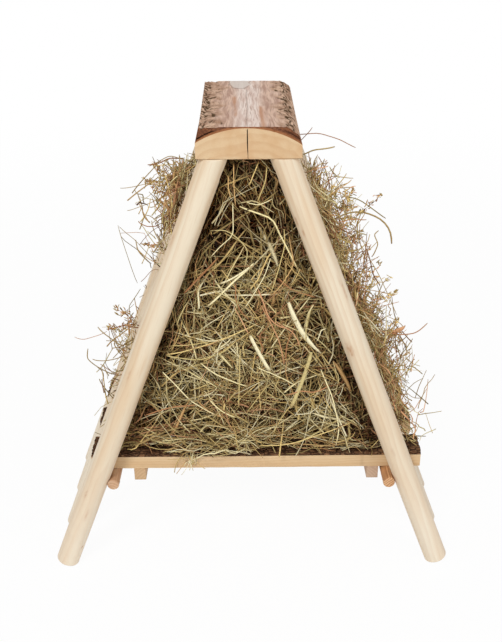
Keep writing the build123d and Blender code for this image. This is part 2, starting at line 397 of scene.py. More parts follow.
def wood_finish(name, pale, warm, late, knot, ring, streak, fibre, shine, painted_foot_light=0.0):
    """Clean wood. The grain value at a point is its place across, across and along the trunk, in mm.

    Year rings are the distance from the trunk's middle, bent by noise and counted in rings;
    each darkens towards its late wood. Fibres are noise drawn out along the trunk. The last
    argument is painted light: how far the lowest 150 mm fade to near white.
    """
    wood = Finish(bpy.data.materials.new(name))
    pale, warm, late, knot = (paint(*colour) for colour in (pale, warm, late, knot))
    grain = wood.stored("grain", "Vector")
    bend = wood.noise(grain, (0.03, 0.03, 0.006), 2.0)
    waver = wood.noise(grain, (0.25, 0.25, 0.02), 2.0)
    flat = wood.stretch(grain, (1.0, 1.0, 0.0))
    middle = wood.node("VectorMath", {"operation": "LENGTH"}, {0: flat}, out="Value")
    rings = (middle + (bend - 0.5) * 14 + (waver - 0.5) * 1.6) / ring
    phase = rings.maths("FRACT")
    year = wood.step(phase, 0.25, 0.86) * (1 - wood.step(phase, 0.9, 1.0))
    tone = wood.noise(grain, (0.07, 0.07, 0.006), 2.0)
    lengthwise = wood.noise(grain, (1.5, 1.5, 0.05), 3.0, 0.6)
    pore = wood.noise(grain, (4.0, 4.0, 0.25), 2.0)
    body = wood.layers(
        pale,
        (wood.step(tone, 0.38, 0.66), warm),
        (year * streak, late),
        (wood.step(lengthwise, 0.5, 0.8) * fibre, late),
        (wood.step(pore, 0.62, 0.75) * fibre * 0.5, late),
    )
    # Painted light: the wood is painted paler towards the floor.
    if painted_foot_light:
        place = wood.node("TexCoord", {}, out="Object")
        above_floor = wood.node("SeparateXYZ", {}, {0: place}, out="Z")
        foot_light_share = (1 - wood.step(above_floor, 0.02, 0.17)) * painted_foot_light
        body = wood.mix(foot_light_share, body, paint(255, 247, 232))
    body = wood.mix(wood.stored("mark"), body, knot)
    height = lengthwise * 0.6 + pore * 0.25 + year * 0.35
    roughness = shine + (lengthwise - 0.5) * 0.12
    return wood.surface(body, roughness, height, relief=0.00012, strength=0.8)


peeled = wood_finish(
    "peeled_rod_wood", (232, 217, 192), (224, 199, 166), (206, 168, 128), (178, 120, 74),
    ring=4.6, streak=0.26, fibre=0.3, shine=0.55, painted_foot_light=0.3,
)

ROD_SIDES = 48
ROD_RIM = 0.45
RAIL_RADIUS = 5.0
RAIL_BED = 0.5
RAIL_Z = 87.8
RAIL_X = leg_axis_x(RAIL_Z) - (LEG_RADIUS + RAIL_RADIUS - RAIL_BED) / cos(LEAN)
SCREW_TILT = radians(20.0)
SCREW_PULL = 14.0
POCKET_RADIUS = 3.3
POCKET_DEPTH = 3.4
POCKET_MOUTH = 12.0

# Marks on a rod: distance up it, degrees round it from its outer side, length, width, strength.
ROD_MARKS = {
    ("right", 1): [
        (232.4, -122, 7.0, 3.0, 0.75),
        (347.0, -143, 5.0, 1.2, 0.7),
        (337.0, -130, 4.0, 1.0, 0.6),
        (281.0, -42, 9.0, 1.0, 0.6),
        (292.0, -50, 5.0, 0.8, 0.5),
        (96.0, -165, 7.0, 6.0, 0.55),
        (128.0, -100, 5.0, 1.0, 0.4),
    ],
    ("left", 1): [
        (22.0, -140, 1.6, 1.0, 0.9),
        (96.0, -160, 3.0, 2.4, 0.7),
        (205.0, -60, 6.0, 1.0, 0.4),
        (61.0, -100, 6.0, 1.2, 0.35),
    ],
}


def rod(side_name, number):
    """A leaning rod: circles about its axis, from square to it at the foot to level at the top."""
    side, y, seed = SIDES[side_name], LEG_Y[number - 1], 40 * number + len(side_name)
    dice = np.random.default_rng(seed)
    foot = np.array([side * leg_axis_x(FOOT_Z), y, FOOT_Z])
    up = np.array([-side * sin(LEAN), 0, cos(LEAN)])
    out = np.array([side * cos(LEAN), 0, sin(LEAN)])
    back = np.array([0.0, 1.0, 0.0])
    stock = (RIDGE_UNDERSIDE - FOOT_Z) / cos(LEAN)
    pocket_up = stock - SCREW_PULL / cos(LEAN) - LEG_RADIUS * tan(LEAN)
    rail_up = (RAIL_Z - FOOT_Z) / cos(LEAN) + 4.0
    share, along = bar_rows(stock, LEG_RADIUS, ROD_RIM, [pocket_up, rail_up])
    turn = np.linspace(0, 2 * pi, ROD_SIDES, endpoint=False)
    local = gather(30 * np.cos(turn), 30 * np.sin(turn), along[:, None])
    uneven = ripple(local, (70, 70, 130), seed) * 0.05 + ripple(local, (28, 28, 60), seed + 1) * 0.025
    radius = share[:, None] * (LEG_RADIUS - 0.04 + uneven)
    across, behind = radius * np.cos(turn), radius * np.sin(turn)
    end = (RIDGE_UNDERSIDE - FOOT_Z - across * sin(LEAN)) / cos(LEAN)
    far = along[:, None] / stock * end
    bow = dice.uniform(-0.35, 0.35, 2) * np.sin(pi * far[..., None] / stock)
    rings = foot + far[..., None] * up + (across + bow[..., 0])[..., None] * out
    rings = rings + (behind + bow[..., 1])[..., None] * back

    # The bed pressed in by the rail: what would be inside the rail moves out to its surface.
    gap = rings[..., [0, 2]] - np.array([side * RAIL_X, RAIL_Z])
    reach = np.linalg.norm(gap, axis=-1)
    seat = np.maximum(RAIL_RADIUS + 0.06 - reach, 0)
    rings[..., [0, 2]] += unit(gap) * seat[..., None]

    # The pocket drilled for the screw's head, along the screw's own line.
    line = np.array([side * sin(SCREW_TILT), 0, cos(SCREW_TILT)])
    mouth_z = RIDGE_UNDERSIDE - SCREW_PULL
    mouth = np.array([side * (leg_axis_x(mouth_z) - HALF_ROD), y, mouth_z])
    offset = rings - mouth
    height = offset @ line
    wide = np.linalg.norm(offset - height[..., None] * line, axis=-1)
    drilled = (wide < POCKET_RADIUS) & (across < 0) & (height < POCKET_DEPTH) & (height > -POCKET_MOUTH)
    rings[drilled] += (POCKET_DEPTH - height[drilled])[:, None] * line

    points, faces, flat = round_skin(rings)
    from_foot = points - foot
    up_rod, out_rod, back_rod = from_foot @ up, from_foot @ out, from_foot @ back
    angle = np.degrees(np.arctan2(back_rod, out_rod))
    marks = list(ROD_MARKS.get((side_name, number), []))
    for _ in range(4):
        marks.append((*dice.uniform([30, -180, 1.5, 0.7], [340, 180, 6, 1.5]), 0.45))
    mark = np.zeros(len(points))
    for place, degrees_round, length, width, strength in marks:
        round_by = ((angle - degrees_round + 180) % 360 - 180) * LEG_RADIUS * pi / 180
        ragged = 0.25 * ripple(from_foot, (3, 3, 5), seed + 5)
        blot = ((up_rod - place) / length) ** 2 + (round_by / width) ** 2 + ragged
        mark = np.maximum(mark, strength * np.exp(-np.maximum(blot, 0) * 1.6))
    reach_pith = dice.uniform(26, 60)
    way = dice.uniform(0, 2 * pi)
    drift = dice.uniform(-0.03, 0.03, 2)
    grain = gather(
        out_rod + reach_pith * cos(way) + drift[0] * up_rod,
        back_rod + reach_pith * sin(way) + drift[1] * up_rod,
        up_rod + 500 * number * side,
    )
    values = {"grain": grain, "mark": mark}
    piece = lay_mesh(f"rod_{side_name}_{number}", points, faces, flat, values, peeled, WOOD_CREASE)
    fit(piece, "frame", "peeled_rod", f"leg_{side_name}_{number}")


for side_name in SIDES:
    for number in range(1, 5):
        rod(side_name, number)

# ------------------------------------------------------------------ rails
# Two 10 mm rods that run front to back along the inner side of the leaning rods, bedded a
# little into each and nailed to it. The tray lies on them.

RAIL_HALF = 81.5
RAIL_SIDES = 32
RAIL_RIM = 0.5
RAIL_PITH = {"left": (1.5, 4.0), "right": (16.0, -13.0)}

rail_woods = {
    "left": wood_finish(
        "left_rail_wood", (222, 190, 158), (206, 164, 128), (168, 118, 82), (120, 80, 52),
        ring=2.6, streak=0.45, fibre=0.45, shine=0.6,
    ),
    "right": wood_finish(
        "right_rail_wood", (226, 180, 132), (214, 156, 102), (150, 92, 54), (110, 70, 44),
        ring=2.1, streak=0.75, fibre=0.4, shine=0.6,
    ),
}


def rail(side_name):
    """A straight rail: circles about a line along Y, a little uneven, with soft rims."""
    side, seed = SIDES[side_name], 300 + len(side_name)
    share, along = bar_rows(2 * RAIL_HALF, RAIL_RADIUS, RAIL_RIM, [])
    turn = np.linspace(0, 2 * pi, RAIL_SIDES, endpoint=False)
    across, up, along = np.broadcast_arrays(np.cos(turn), np.sin(turn), along[:, None])
    uneven = 0.05 * ripple(gather(12 * across, along, 12 * up), (30, 50, 30), seed)
    radius = share[:, None] * (RAIL_RADIUS + uneven)
    rings = gather(side * RAIL_X + radius * across, along - RAIL_HALF, RAIL_Z + radius * up)
    points, faces, flat = round_skin(rings)
    grain = points[:, [0, 2, 1]] - np.array([side * RAIL_X, RAIL_Z, 0])
    grain = grain + np.array([*RAIL_PITH[side_name], 900 * side])
    # The wood is darker where a rod presses on it.
    at_rod = np.abs(points[:, 1, None] - LEG_Y).min(1)
    from_rod = points[:, 0] * side - RAIL_X - RAIL_RADIUS
    dark_at_rod = 0.5 * np.exp(-((at_rod / 5) ** 2) - (from_rod / 3) ** 2)
    values, wood = {"grain": grain, "mark": dark_at_rod}, rail_woods[side_name]
    piece = lay_mesh(f"rail_bar_{side_name}", points, faces, flat, values, wood, WOOD_CREASE)
    fit(piece, "frame", "peeled_rod", f"rail_{side_name}")


for side_name in SIDES:
    rail(side_name)

# ------------------------------------------------------------------ planks and battens
# The tray: three planks sawn with the bark left on their upper side, and two square battens
# nailed across under them. All are plain sawn spruce with slightly broken edges.

PLANK_Y = {"front": -51.0, "middle": 0.0, "rear": 51.0}
PLANK_HALF_WIDTH = 14.0
PLANK_UNDERSIDE = 93.0
PLANK_TOP = 105.0
TRAY_SHIFT = 4.5
PLANK_BARK_TOP = 109.6
PLANK_HALF = leg_axis_x(PLANK_BARK_TOP) + HALF_ROD + 6.5
PLANK_SIZE = np.array([PLANK_HALF, PLANK_HALF_WIDTH, (PLANK_TOP - PLANK_UNDERSIDE) / 2])
PLANK_RIM = 0.5
BATTEN_SIZE = np.array([5.0, 65.0, 6.0])
BATTEN_GAP = 6.8
BATTEN_X = RAIL_X - RAIL_RADIUS - BATTEN_GAP - 5.0
BATTEN_UNDERSIDE = 81.0
BATTEN_RIM = 0.4


def block_skin(us, vs, ws):
    """Skin of a block from 0 to 1 on each axis, cut at the stations us, vs and ws.

    Returns its points, its quads, which face outwards, and a flat layout with the six sides
    in cells of three by two.
    """
    lines = [np.asarray(line, float) for line in (us, vs, ws)]
    size = [len(line) for line in lines]
    codes, cells = [], []
    for axis in range(3):
        first, second = (axis + 1) % 3, (axis + 2) % 3
        i, j = np.meshgrid(np.arange(size[first] - 1), np.arange(size[second] - 1), indexing="ij")
        i, j = i.ravel(), j.ravel()
        for end in (0, 1):
            ring = [(i, j), (i + 1, j), (i + 1, j + 1), (i, j + 1)][:: 1 if end else -1]
            index = np.zeros((len(i), 4, 3), int)
            index[..., axis] = end * (size[axis] - 1)
            spot = np.zeros((len(i), 4, 2))
            for corner, (a, b) in enumerate(ring):
                index[:, corner, first], index[:, corner, second] = a, b
                spot[:, corner, 0], spot[:, corner, 1] = lines[first][a], lines[second][b]
            codes.append((index[..., 0] * size[1] + index[..., 1]) * size[2] + index[..., 2])
            cells.append((np.array([axis, end]) + 0.02 + 0.96 * spot) / np.array([3, 2]))
    used, quads = np.unique(np.concatenate(codes), return_inverse=True)
    places = gather(
        lines[0][used // (size[1] * size[2])],
        lines[1][used // size[2] % size[1]],
        lines[2][used % size[2]],
    )
    return places, quads.reshape(-1, 4), np.concatenate(cells)


def stations(length, pitch, rim):
    """Even stations from 0 to 1 along a length, with extra ones within a rim of each end."""
    inside = np.linspace(rim, length - rim, max(int(length / pitch), 2))
    return np.concatenate([[0, 0.35 * rim], inside, [length - 0.35 * rim, length]]) / length


def eased(places, half, rim):
    """A block of half sizes with round edges: the inner block, plus a ball of rim's radius round it."""
    spread = (places * 2 - 1) * half
    inner = np.clip(spread, rim - np.asarray(half), np.asarray(half) - rim)
    return inner + unit(spread - inner) * rim * (np.abs(spread - inner).max(-1, keepdims=True) > 0)


sawn = wood_finish(
    "sawn_spruce_wood", (223, 193, 151), (213, 179, 136), (196, 152, 104), (110, 72, 44),
    ring=2.6, streak=0.26, fibre=0.45, shine=0.68,
)

plank_pitch, batten_pitch = (2.5, 2.0, 1.5), (1.0, 1.0, 1.5)
plank_lines = [stations(2 * half, pitch, PLANK_RIM) for half, pitch in zip(PLANK_SIZE, plank_pitch)]
batten_lines = [stations(2 * half, pitch, BATTEN_RIM) for half, pitch in zip(BATTEN_SIZE, batten_pitch)]

for plank_name, y in PLANK_Y.items():
    places, quads, flat = block_skin(*plank_lines)
    centre = np.array([TRAY_SHIFT, y, (PLANK_TOP + PLANK_UNDERSIDE) / 2])
    points = centre + eased(places, PLANK_SIZE, PLANK_RIM)
    points[:, 1] += 0.08 * ripple(points, (25, 40, 9), 500 + int(y)) * np.sign(points[:, 1] - y)
    grain = gather(points[:, 1] - y, points[:, 2] - PLANK_TOP + 62, points[:, 0] + 700 + 9 * y)
    # A short dark tick on the front plank's front, by the right batten.
    tick = np.exp(-((points[:, 0] - 97.4) / 0.8) ** 2 - (np.maximum(95.5 - points[:, 2], 0) / 2) ** 2)
    tick *= 0.8 * (plank_name == "front") * (points[:, 1] < y - 13)
    values = {"grain": grain, "mark": tick}
    piece = lay_mesh(f"tray_plank_{plank_name}", points, [quads], [flat], values, sawn, WOOD_CREASE)
    fit(piece, "tray", "sawn_spruce", f"plank_{plank_name}")

batten_woods = {
    "left": wood_finish(
        "brown_batten_wood", (206, 172, 132), (194, 156, 114), (164, 122, 80), (110, 72, 44),
        ring=2.6, streak=0.3, fibre=0.5, shine=0.7,
    ),
    "right": wood_finish(
        "grey_batten_wood", (206, 176, 150), (194, 162, 134), (168, 132, 104), (110, 72, 44),
        ring=3.0, streak=0.3, fibre=0.5, shine=0.7,
    ),
}

for side_name, side in SIDES.items():
    places, quads, flat = block_skin(*batten_lines)
    centre = np.array([TRAY_SHIFT + side * BATTEN_X, 0, BATTEN_UNDERSIDE + BATTEN_SIZE[2]])
    points = centre + eased(places, BATTEN_SIZE, BATTEN_RIM)
    # The underside is dented round each nail's head.
    for y in PLANK_Y.values():
        beside = np.hypot(points[:, 0] - centre[0], points[:, 1] - y)
        points[:, 2] += 0.35 * (1 - smooth(beside, 1.9, 3.0)) * (points[:, 2] < BATTEN_UNDERSIDE + 1)
    grain = points - [centre[0] - 24 * side, -1500 * side, 60]
    values = {"grain": grain[:, [0, 2, 1]], "mark": np.zeros(len(points))}
    wood = batten_woods[side_name]
    piece = lay_mesh(f"tray_batten_{side_name}", points, [quads], [flat], values, wood, WOOD_CREASE)
    fit(piece, "tray", "sawn_spruce", f"batten_{side_name}")

# ------------------------------------------------------------------ bark on the planks
# Thin dark spruce bark left on the round upper side of each plank: scaly and cracked, with
# crumbled ends. It grew on the wood and was sawn off level with the plank's sides.

BARK_EDGE = 3.2
BARK_CROWN = PLANK_BARK_TOP - PLANK_TOP
BARK_CREASE = 60.0


def bark_finish(name):
    """Rough bark. Scales are cells of a cracked pattern; cracks are darker and deeper than scales."""
    bark = Finish(bpy.data.materials.new(name))
    place = bark.place()
    drift = bark.noise(place, (0.1, 0.2, 0.2), 3.0)
    flake = bark.node(
        "TexVoronoi",
        {"feature": "DISTANCE_TO_EDGE"},
        {"Vector": bark.stretch(place, (0.16, 0.3, 0.3)), "Scale": 1.0, "Randomness": 1.0},
    )
    grit = bark.noise(place, (0.6, 0.9, 0.9), 4.0, 0.6)
    body = bark.layers(
        paint(96, 64, 42),
        (bark.step(drift, 0.4, 0.65), paint(134, 98, 68)),
        (bark.step(grit, 0.55, 0.75), paint(168, 134, 102)),
        (1 - bark.step(flake, 0.0, 0.16), paint(54, 33, 18)),
    )
    height = bark.step(flake, 0.0, 0.25) + grit * 0.8
    return bark.surface(body, 0.86, height, relief=0.0008, gloss=0.2)


plank_bark = bark_finish("plank_bark")
bark_lines = [stations(length, 0.9, 0.3) for length in (2 * PLANK_HALF, 2 * PLANK_HALF_WIDTH, 3.6)]

for plank_name, y in PLANK_Y.items():
    places, quads, flat = block_skin(*bark_lines)
    seed = 600 + int(y)
    along, across = places[:, 0] * 2 - 1, places[:, 1] * 2 - 1
    up = places[:, 2]
    crown = BARK_EDGE + (BARK_CROWN - BARK_EDGE) * (1 - across ** 2)
    place_x, place_y = TRAY_SHIFT + along * PLANK_HALF, y + across * PLANK_HALF_WIDTH
    points = gather(place_x, place_y, PLANK_TOP + up * crown)
    rough = ripple(points, (14, 9, 9), seed) * 0.35 + ripple(points, (4, 3, 3), seed + 1, 14) * 0.28
    scale = np.abs(ripple(points, (9, 5, 5), seed + 2))
    worn = np.clip(0.35 + rough + 0.5 * (1 - smooth(scale, 0.0, 0.35)), 0, 1.4)
    at_side = smooth(np.abs(across), 0.9, 1.0) * smooth(up, 0, 0.4)
    at_end = smooth(np.abs(along), 0.98, 1.0) * smooth(up, 0, 0.5)
    points[:, 2] -= worn * up
    points[:, 1] -= 0.6 * np.sign(across) * at_side * worn
    points[:, 0] -= along * at_end * worn
    piece = lay_mesh(f"tray_bark_{plank_name}", points, [quads], [flat], {}, plank_bark, BARK_CREASE)
    fit(piece, "tray", "bark", f"plank_bark_{plank_name}")

# ------------------------------------------------------------------ ridge slab
# A slab off the round side of a log: sawn underside and sides, natural round top under the
# bark. A drying crack has opened from the underside almost to the bark, along its length.

RIDGE_HALF = 85.0
EDGE_LEFT = 11.9
EDGE_RIGHT = 10.0
CROWN = 22.2
CROWN_X = -1.2


def circle_through(first, second, third):
    """Centre and radius of the circle through three points, where their middle lines meet."""
    rows = 2 * np.array([np.subtract(second, first), np.subtract(third, first)])
    sums = [np.dot(second, second) - np.dot(first, first), np.dot(third, third) - np.dot(first, first)]
    centre = np.linalg.solve(rows, sums)
    return centre, float(np.linalg.norm(np.subtract(first, centre)))


log_centre, log_radius = circle_through(
    (-RIDGE_HALF_WIDTH, EDGE_LEFT), (CROWN_X, CROWN), (RIDGE_HALF_WIDTH, EDGE_RIGHT)
)


def wood_crown(x):
    """Height of the log's round surface over the slab's underside."""
    return log_centre[1] + np.sqrt(log_radius ** 2 - (x - log_centre[0]) ** 2)


CRACK_X = -0.9
CRACK_HALF = 0.21
CRACK_DEPTH = 20.4

slab_wood = wood_finish(
    "ridge_slab_wood", (217, 187, 147), (209, 172, 129), (190, 144, 100), (92, 58, 34),
    ring=5.6, streak=0.24, fibre=0.4, shine=0.66,
)

# The rows across leave a narrow gap beside the crack's own row, which is drawn up into the slab.
BESIDE_CRACK = 0.004
SLAB_RIM = 0.5
half_line = np.concatenate([[0, BESIDE_CRACK], np.linspace(0.012, 0.97, 26), [0.985, 1.0]])
slab_across = np.concatenate([-half_line[::-1], half_line[1:]]) / 2 + 0.5
slab_along, slab_up = stations(2 * RIDGE_HALF, 2.0, SLAB_RIM), stations(22.0, 1.6, SLAB_RIM)
places, quads, flat = block_skin(slab_across, slab_along, slab_up)
along = (places[:, 1] * 2 - 1) * RIDGE_HALF
waver = CRACK_X + 0.6 * np.sin((along + RIDGE_HALF) / 31) + 0.25 * np.sin((along + RIDGE_HALF) / 9)
fan = places[:, 0] * 2 - 1
across = fan * RIDGE_HALF_WIDTH + waver * (1 - np.abs(fan)) ** 0.7
at_crack = np.abs(fan) < 1e-6
beside_crack = np.abs(np.abs(fan) - BESIDE_CRACK) < 1e-4
up = places[:, 2] * wood_crown(across)
opening = CRACK_HALF * np.clip(1 - up / CRACK_DEPTH, 0, 1) ** 0.8
across = np.where(beside_crack, waver + np.sign(fan) * np.maximum(opening, 0.02), across)
across = across + 0.35 * np.sin(up / 3.1 + along / 20) * (1 - np.minimum(np.abs(fan) * 6, 1))
top = wood_crown(across)
up = np.where(at_crack, CRACK_DEPTH + places[:, 2] * (top - CRACK_DEPTH), places[:, 2] * top)
points = gather(across, along, RIDGE_UNDERSIDE + up)
edge = np.minimum(RIDGE_HALF_WIDTH - np.abs(across), RIDGE_HALF - np.abs(along))
points[:, 2] += 0.35 * np.clip(1 - edge / SLAB_RIM, 0, 1) * (places[:, 2] < 0.02)
grain = gather(across - log_centre[0], up - log_centre[1], along + 300)
# The crack's own row is painted dark in the knot colour, as painted shade in the crack.
values = {"grain": grain, "mark": at_crack * (places[:, 2] < 0.95) * 1.0}
piece = lay_mesh("ridge_slab", points, [quads], [flat], values, slab_wood, WOOD_CREASE)
fit(piece, "frame", "sawn_spruce", "ridge_wood")

# ------------------------------------------------------------------ bark on the ridge
# Thick pine bark on the slab, planed flat on top. The plane has cut the middle down to smooth
# inner bark, the sides keep their pits and scales, and the right edge is the tree's own.

PLANED_TOP = 23.2
PLANED_LEFT = (2.8, 0.4)
PLANED_RIGHT = (11.4, 7.4)
SHOULDER = (2.3, 0.8)
SHOULDER_DROP = 6.3
SHOULDER_BULGE = 0.8

TOP_SHARE = 0.82

bark_across = stations(1.0, 0.006, 0.004)[:-1] * TOP_SHARE
bark_across = np.concatenate([bark_across, np.linspace(TOP_SHARE, 1.0, 22)])
bark_along = stations(2 * RIDGE_HALF, 0.75, 0.3)
places, quads, flat = block_skin(bark_across, bark_along, np.linspace(0, 1, 15))
u, w, v = places.T
along = (w * 2 - 1) * RIDGE_HALF
left = -RIDGE_HALF_WIDTH + PLANED_LEFT[0] + (PLANED_LEFT[1] - PLANED_LEFT[0]) * w
right = RIDGE_HALF_WIDTH - PLANED_RIGHT[0] - (PLANED_RIGHT[1] - PLANED_RIGHT[0]) * w
foot = RIDGE_HALF_WIDTH - SHOULDER[0] - (SHOULDER[1] - SHOULDER[0]) * w
on_top = np.minimum(u / TOP_SHARE, 1)
down = np.clip((u - TOP_SHARE) / (1 - TOP_SHARE), 0, 1)
high_x = np.where(u <= TOP_SHARE, left + (right - left) * on_top, right + (foot - right) * down)
high_z = PLANED_TOP - SHOULDER_DROP * down
chord = np.hypot(foot - right, SHOULDER_DROP)
round_out = SHOULDER_BULGE * 4 * down * (1 - down)
high_x = high_x + round_out * SHOULDER_DROP / chord
high_z = high_z + round_out * (foot - right) / chord
low_x = -RIDGE_HALF_WIDTH + 2 * RIDGE_HALF_WIDTH * np.interp(u, [0, TOP_SHARE, 1], [0, 0.86, 1])
low_z = wood_crown(low_x)
across = low_x + (high_x - low_x) * v
up = low_z + (high_z - low_z) * v
points = gather(across, along, RIDGE_UNDERSIDE + up)


def bell(value, width):
    """1 where value is 0, falling off as exp(-(value / width)^2)."""
    return np.exp(-((value / width) ** 2))


# How rough the top is: 0 on the planed middle, 1 on the flanks, with a ragged limit.
level = points * [1, 1, 0]
ragged = 2.2 * ripple(level, (40, 46, 1), 71) + 1.5 * ripple(level, (9, 15, 1), 72)
flank = np.maximum(smooth(-17.5 - across + ragged, 0, 9), smooth(across - 17.5 + ragged, 0, 9))
flank = np.maximum(flank, smooth(down, 0, 0.15))

# Pits that stand out: X, Y, half length, half width, heading in degrees from X, depth.
bark_pits = [
    (-29.8, 14.7, 6.5, 1.5, 60, 1.9),
    (-30.6, -12.0, 3.5, 1.4, 80, 1.5),
    (-25.7, -46.0, 6.0, 1.4, 105, 1.8),
    (-33.5, -33.8, 4.0, 0.9, 15, 1.3),
    (-19.2, -71.7, 5.0, 0.8, 100, 1.0),
    (-33.3, 2.9, 5.0, 1.0, 50, 1.3),
    (-23.8, 61.0, 3.2, 0.7, 10, 1.0),
    (23.4, 45.1, 4.5, 1.3, 115, 1.4),
    (26.8, 9.2, 8.0, 1.3, 120, 1.7),
    (29.3, -29.9, 5.0, 1.5, 75, 1.7),
    (29.2, -74.7, 4.0, 1.6, 60, 1.8),
    (28.0, -53.7, 4.5, 1.3, 110, 1.5),
    (15.2, -7.0, 13.0, 0.6, 91, 0.9),
    (10.0, 29.6, 3.2, 0.7, 5, 0.9),
]
# And many more, strewn over the left flank and the right one by turns.
dice = np.random.default_rng(73)
for pit in range(84):
    (near, far), heading = [((21, 38), 112), ((-37, -22), 72)][pit % 2]
    spot = dice.uniform([near, -86, 2.0, 0.7], [far, 86, 7.5, 1.8])
    bark_pits.append((*spot, dice.normal(heading, 30), dice.uniform(0.5, 1.3)))

# A pit is a bell along its length and across it, a little crooked. Scales are slanting ribs.
pits = np.zeros(len(points))
for spot_x, spot_y, length, width, heading, deep in bark_pits:
    heading = radians(heading)
    x, y = across - spot_x, along - spot_y
    one = (x * cos(heading) + y * sin(heading)) / length
    other = (-x * sin(heading) + y * cos(heading)) / width
    other = other + 0.45 * np.sin(3.0 * one)
    pits = np.maximum(pits, deep * np.exp(-(one ** 2 + other ** 2)))
bend = 1.2 * ripple(level, (22, 30, 1), 74)
layers = np.abs(((across * 0.66 + along * 0.34 + bend) / 2.0) % 1 - 0.5) * 2
scales = smooth(layers, 0.35, 0.85) * smooth(np.maximum(-across - 29, across - 25), 0, 5)
worn = flank * (0.25 + pits + 0.7 * scales + 0.25 * ripple(points, (6, 8, 6), 75, 14))
worn = np.maximum(worn, 0) + (1 - flank) * 0.03 * ripple(level, (5, 60, 1), 76, 14)
thick = high_z - low_z
push = np.minimum(worn, 0.7 * thick + 0.2) * smooth(v, 0.86, 1.0)
slope = smooth(down, 0, 0.6)
points[:, 2] -= push * (1 - 0.45 * slope)
points[:, 0] -= push * 0.7 * slope

# The sawn left side and both ends: a little ragged, with a slit where the bark came loose.
off_wood = v * thick
slit = bell(off_wood - 2.1 - 0.03 * (across + 38), 0.45) * smooth(-22 - across, 0, 6)
slit_right = 0.7 * bell(off_wood - 3.4, 0.5) * smooth(across - 24, 0, 4) * smooth(37 - across, 0, 2)
at_end = smooth(np.abs(w * 2 - 1), 0.9995, 1.0)
end_wear = 0.35 + 0.3 * ripple(points, (5, 5, 3), 77, 14) + 2.4 * slit + 1.2 * slit_right
end_wear = np.maximum(end_wear, 0) * smooth(off_wood, 0, 0.6) * (v < 0.999)
points[:, 1] -= np.sign(w - 0.5) * at_end * end_wear
at_left = u < 1e-6
left_wear = 0.2 + 0.25 * np.abs(ripple(points, (5, 9, 3), 78, 14)) + 1.2 * bell(off_wood - 2.1, 0.4)
points[:, 0] += at_left * smooth(v, 0, 0.2) * left_wear

# A pale oval at the rear of the middle, rust-brown streaks beside it, and the line of the
# crack in the wood below, which shows faintly through.
oval = np.hypot((across + 7.0) / 9.4, np.maximum(74 - along, 0) / 23.0)
oval = oval + 0.05 * ripple(points * [1, 1, 0], (9, 20, 1), 79)
patch_line = bell(oval - 1, 0.06) * smooth(-across, -8, 4)
patch = 1 - smooth(oval, 0.85, 1.0)
rust = bell(across + 10.6 + 0.02 * along, 1.9) * smooth(24 - along, 0, 12) * smooth(along + 60, 0, 16)
rust = rust + bell(across - 9.6 + 0.03 * (along + 50), 2.2) * smooth(-12 - along, 0, 12)
rust = rust + 0.8 * bell(across - 5.0, 1.2) * smooth(along - 50, 0, 8)
seam = bell(across + 1.0 + 0.5 * np.sin(along / 13), 0.45) * smooth(48 - along, 0, 5)

bark = Finish(bpy.data.materials.new("ridge_bark_finish"))
spot = bark.place()
rough_share = bark.stored("flank")
place_across = bark.node("SeparateXYZ", {}, {0: spot})
swing = bark.noise(spot, (0.05, 0.016, 0.05), 2.0)
shifted = bark.node("CombineXYZ", {}, {0: place_across + swing * 10, 1: 0.0, 2: 0.0})
drawn_out = bark.stretch(spot, (0.0, 0.028, 0.0))
long_way = bark.node("VectorMath", {"operation": "ADD"}, {0: shifted, 1: drawn_out})
fine_line = bark.noise(long_way, (0.9, 1.0, 1.0), 3.0, 0.62)
broad_line = bark.noise(long_way, (0.24, 0.9, 1.0), 2.0)
rust_line = bark.noise(long_way, (0.17, 0.6, 1.0), 2.0, 0.5, 0.3)
grit = bark.noise(spot, (0.8, 0.5, 0.8), 4.0, 0.65)
clump = bark.noise(spot, (0.16, 0.1, 0.16), 3.0)
streaky = bark.step(broad_line, 0.36, 0.62)
middle_skin = bark.mix(streaky, paint(222, 194, 179), paint(248, 230, 218))
side_skin = bark.mix(streaky, paint(178, 136, 114), paint(224, 186, 161))
beside = bark.step((place_across + swing * 14 - 7).maths("ABSOLUTE"), 6.0, 15.0)
rusty = bark.stored("rust") * bark.step(rust_line, 0.34, 0.56)
planed = bark.layers(
    middle_skin,
    (beside * 0.85, side_skin),
    (bark.step(fine_line, 0.52, 0.62) * 0.6, paint(164, 124, 102)),
    (rusty * 0.8, paint(194, 136, 96)),
    (bark.stored("patch") * 0.8, paint(226, 214, 204)),
    (bark.stored("patch_line") * 0.6, paint(122, 98, 84)),
    (bark.stored("seam") * 0.5, paint(128, 104, 92)),
)
coarse = bark.layers(
    paint(176, 138, 113),
    (bark.step(clump, 0.36, 0.64), paint(224, 188, 161)),
    (bark.step(grit, 0.56, 0.74), paint(230, 202, 178)),
    (bark.step(grit, 0.42, 0.26), paint(94, 64, 46)),
    # Pits and the slanting scale ribs are painted dark: partly the bark's own colour, partly painted
    # shade.
    (bark.step(bark.stored("pit"), 0.1, 0.95), paint(84, 62, 36)),
)
inner = bark.layers(
    paint(104, 62, 40),
    (bark.step(grit, 0.4, 0.65), paint(138, 88, 58)),
    (1 - bark.step(bark.stored("off_wood"), 0.9, 2.2), paint(154, 100, 62)),
    # Painted shade: the slit where the bark came loose is painted nearly black.
    (bark.stored("slit"), paint(34, 20, 14)),
)
colour = bark.layers(planed, (rough_share, coarse), (bark.stored("cut"), inner))
height = fine_line * (1 - rough_share) * 0.35 + grit * (rough_share * 0.9 + 0.1)
ridge_bark_material = bark.surface(
    colour, 0.62 + 0.25 * rough_share, height, relief=0.0007, strength=0.9, gloss=0.25
)

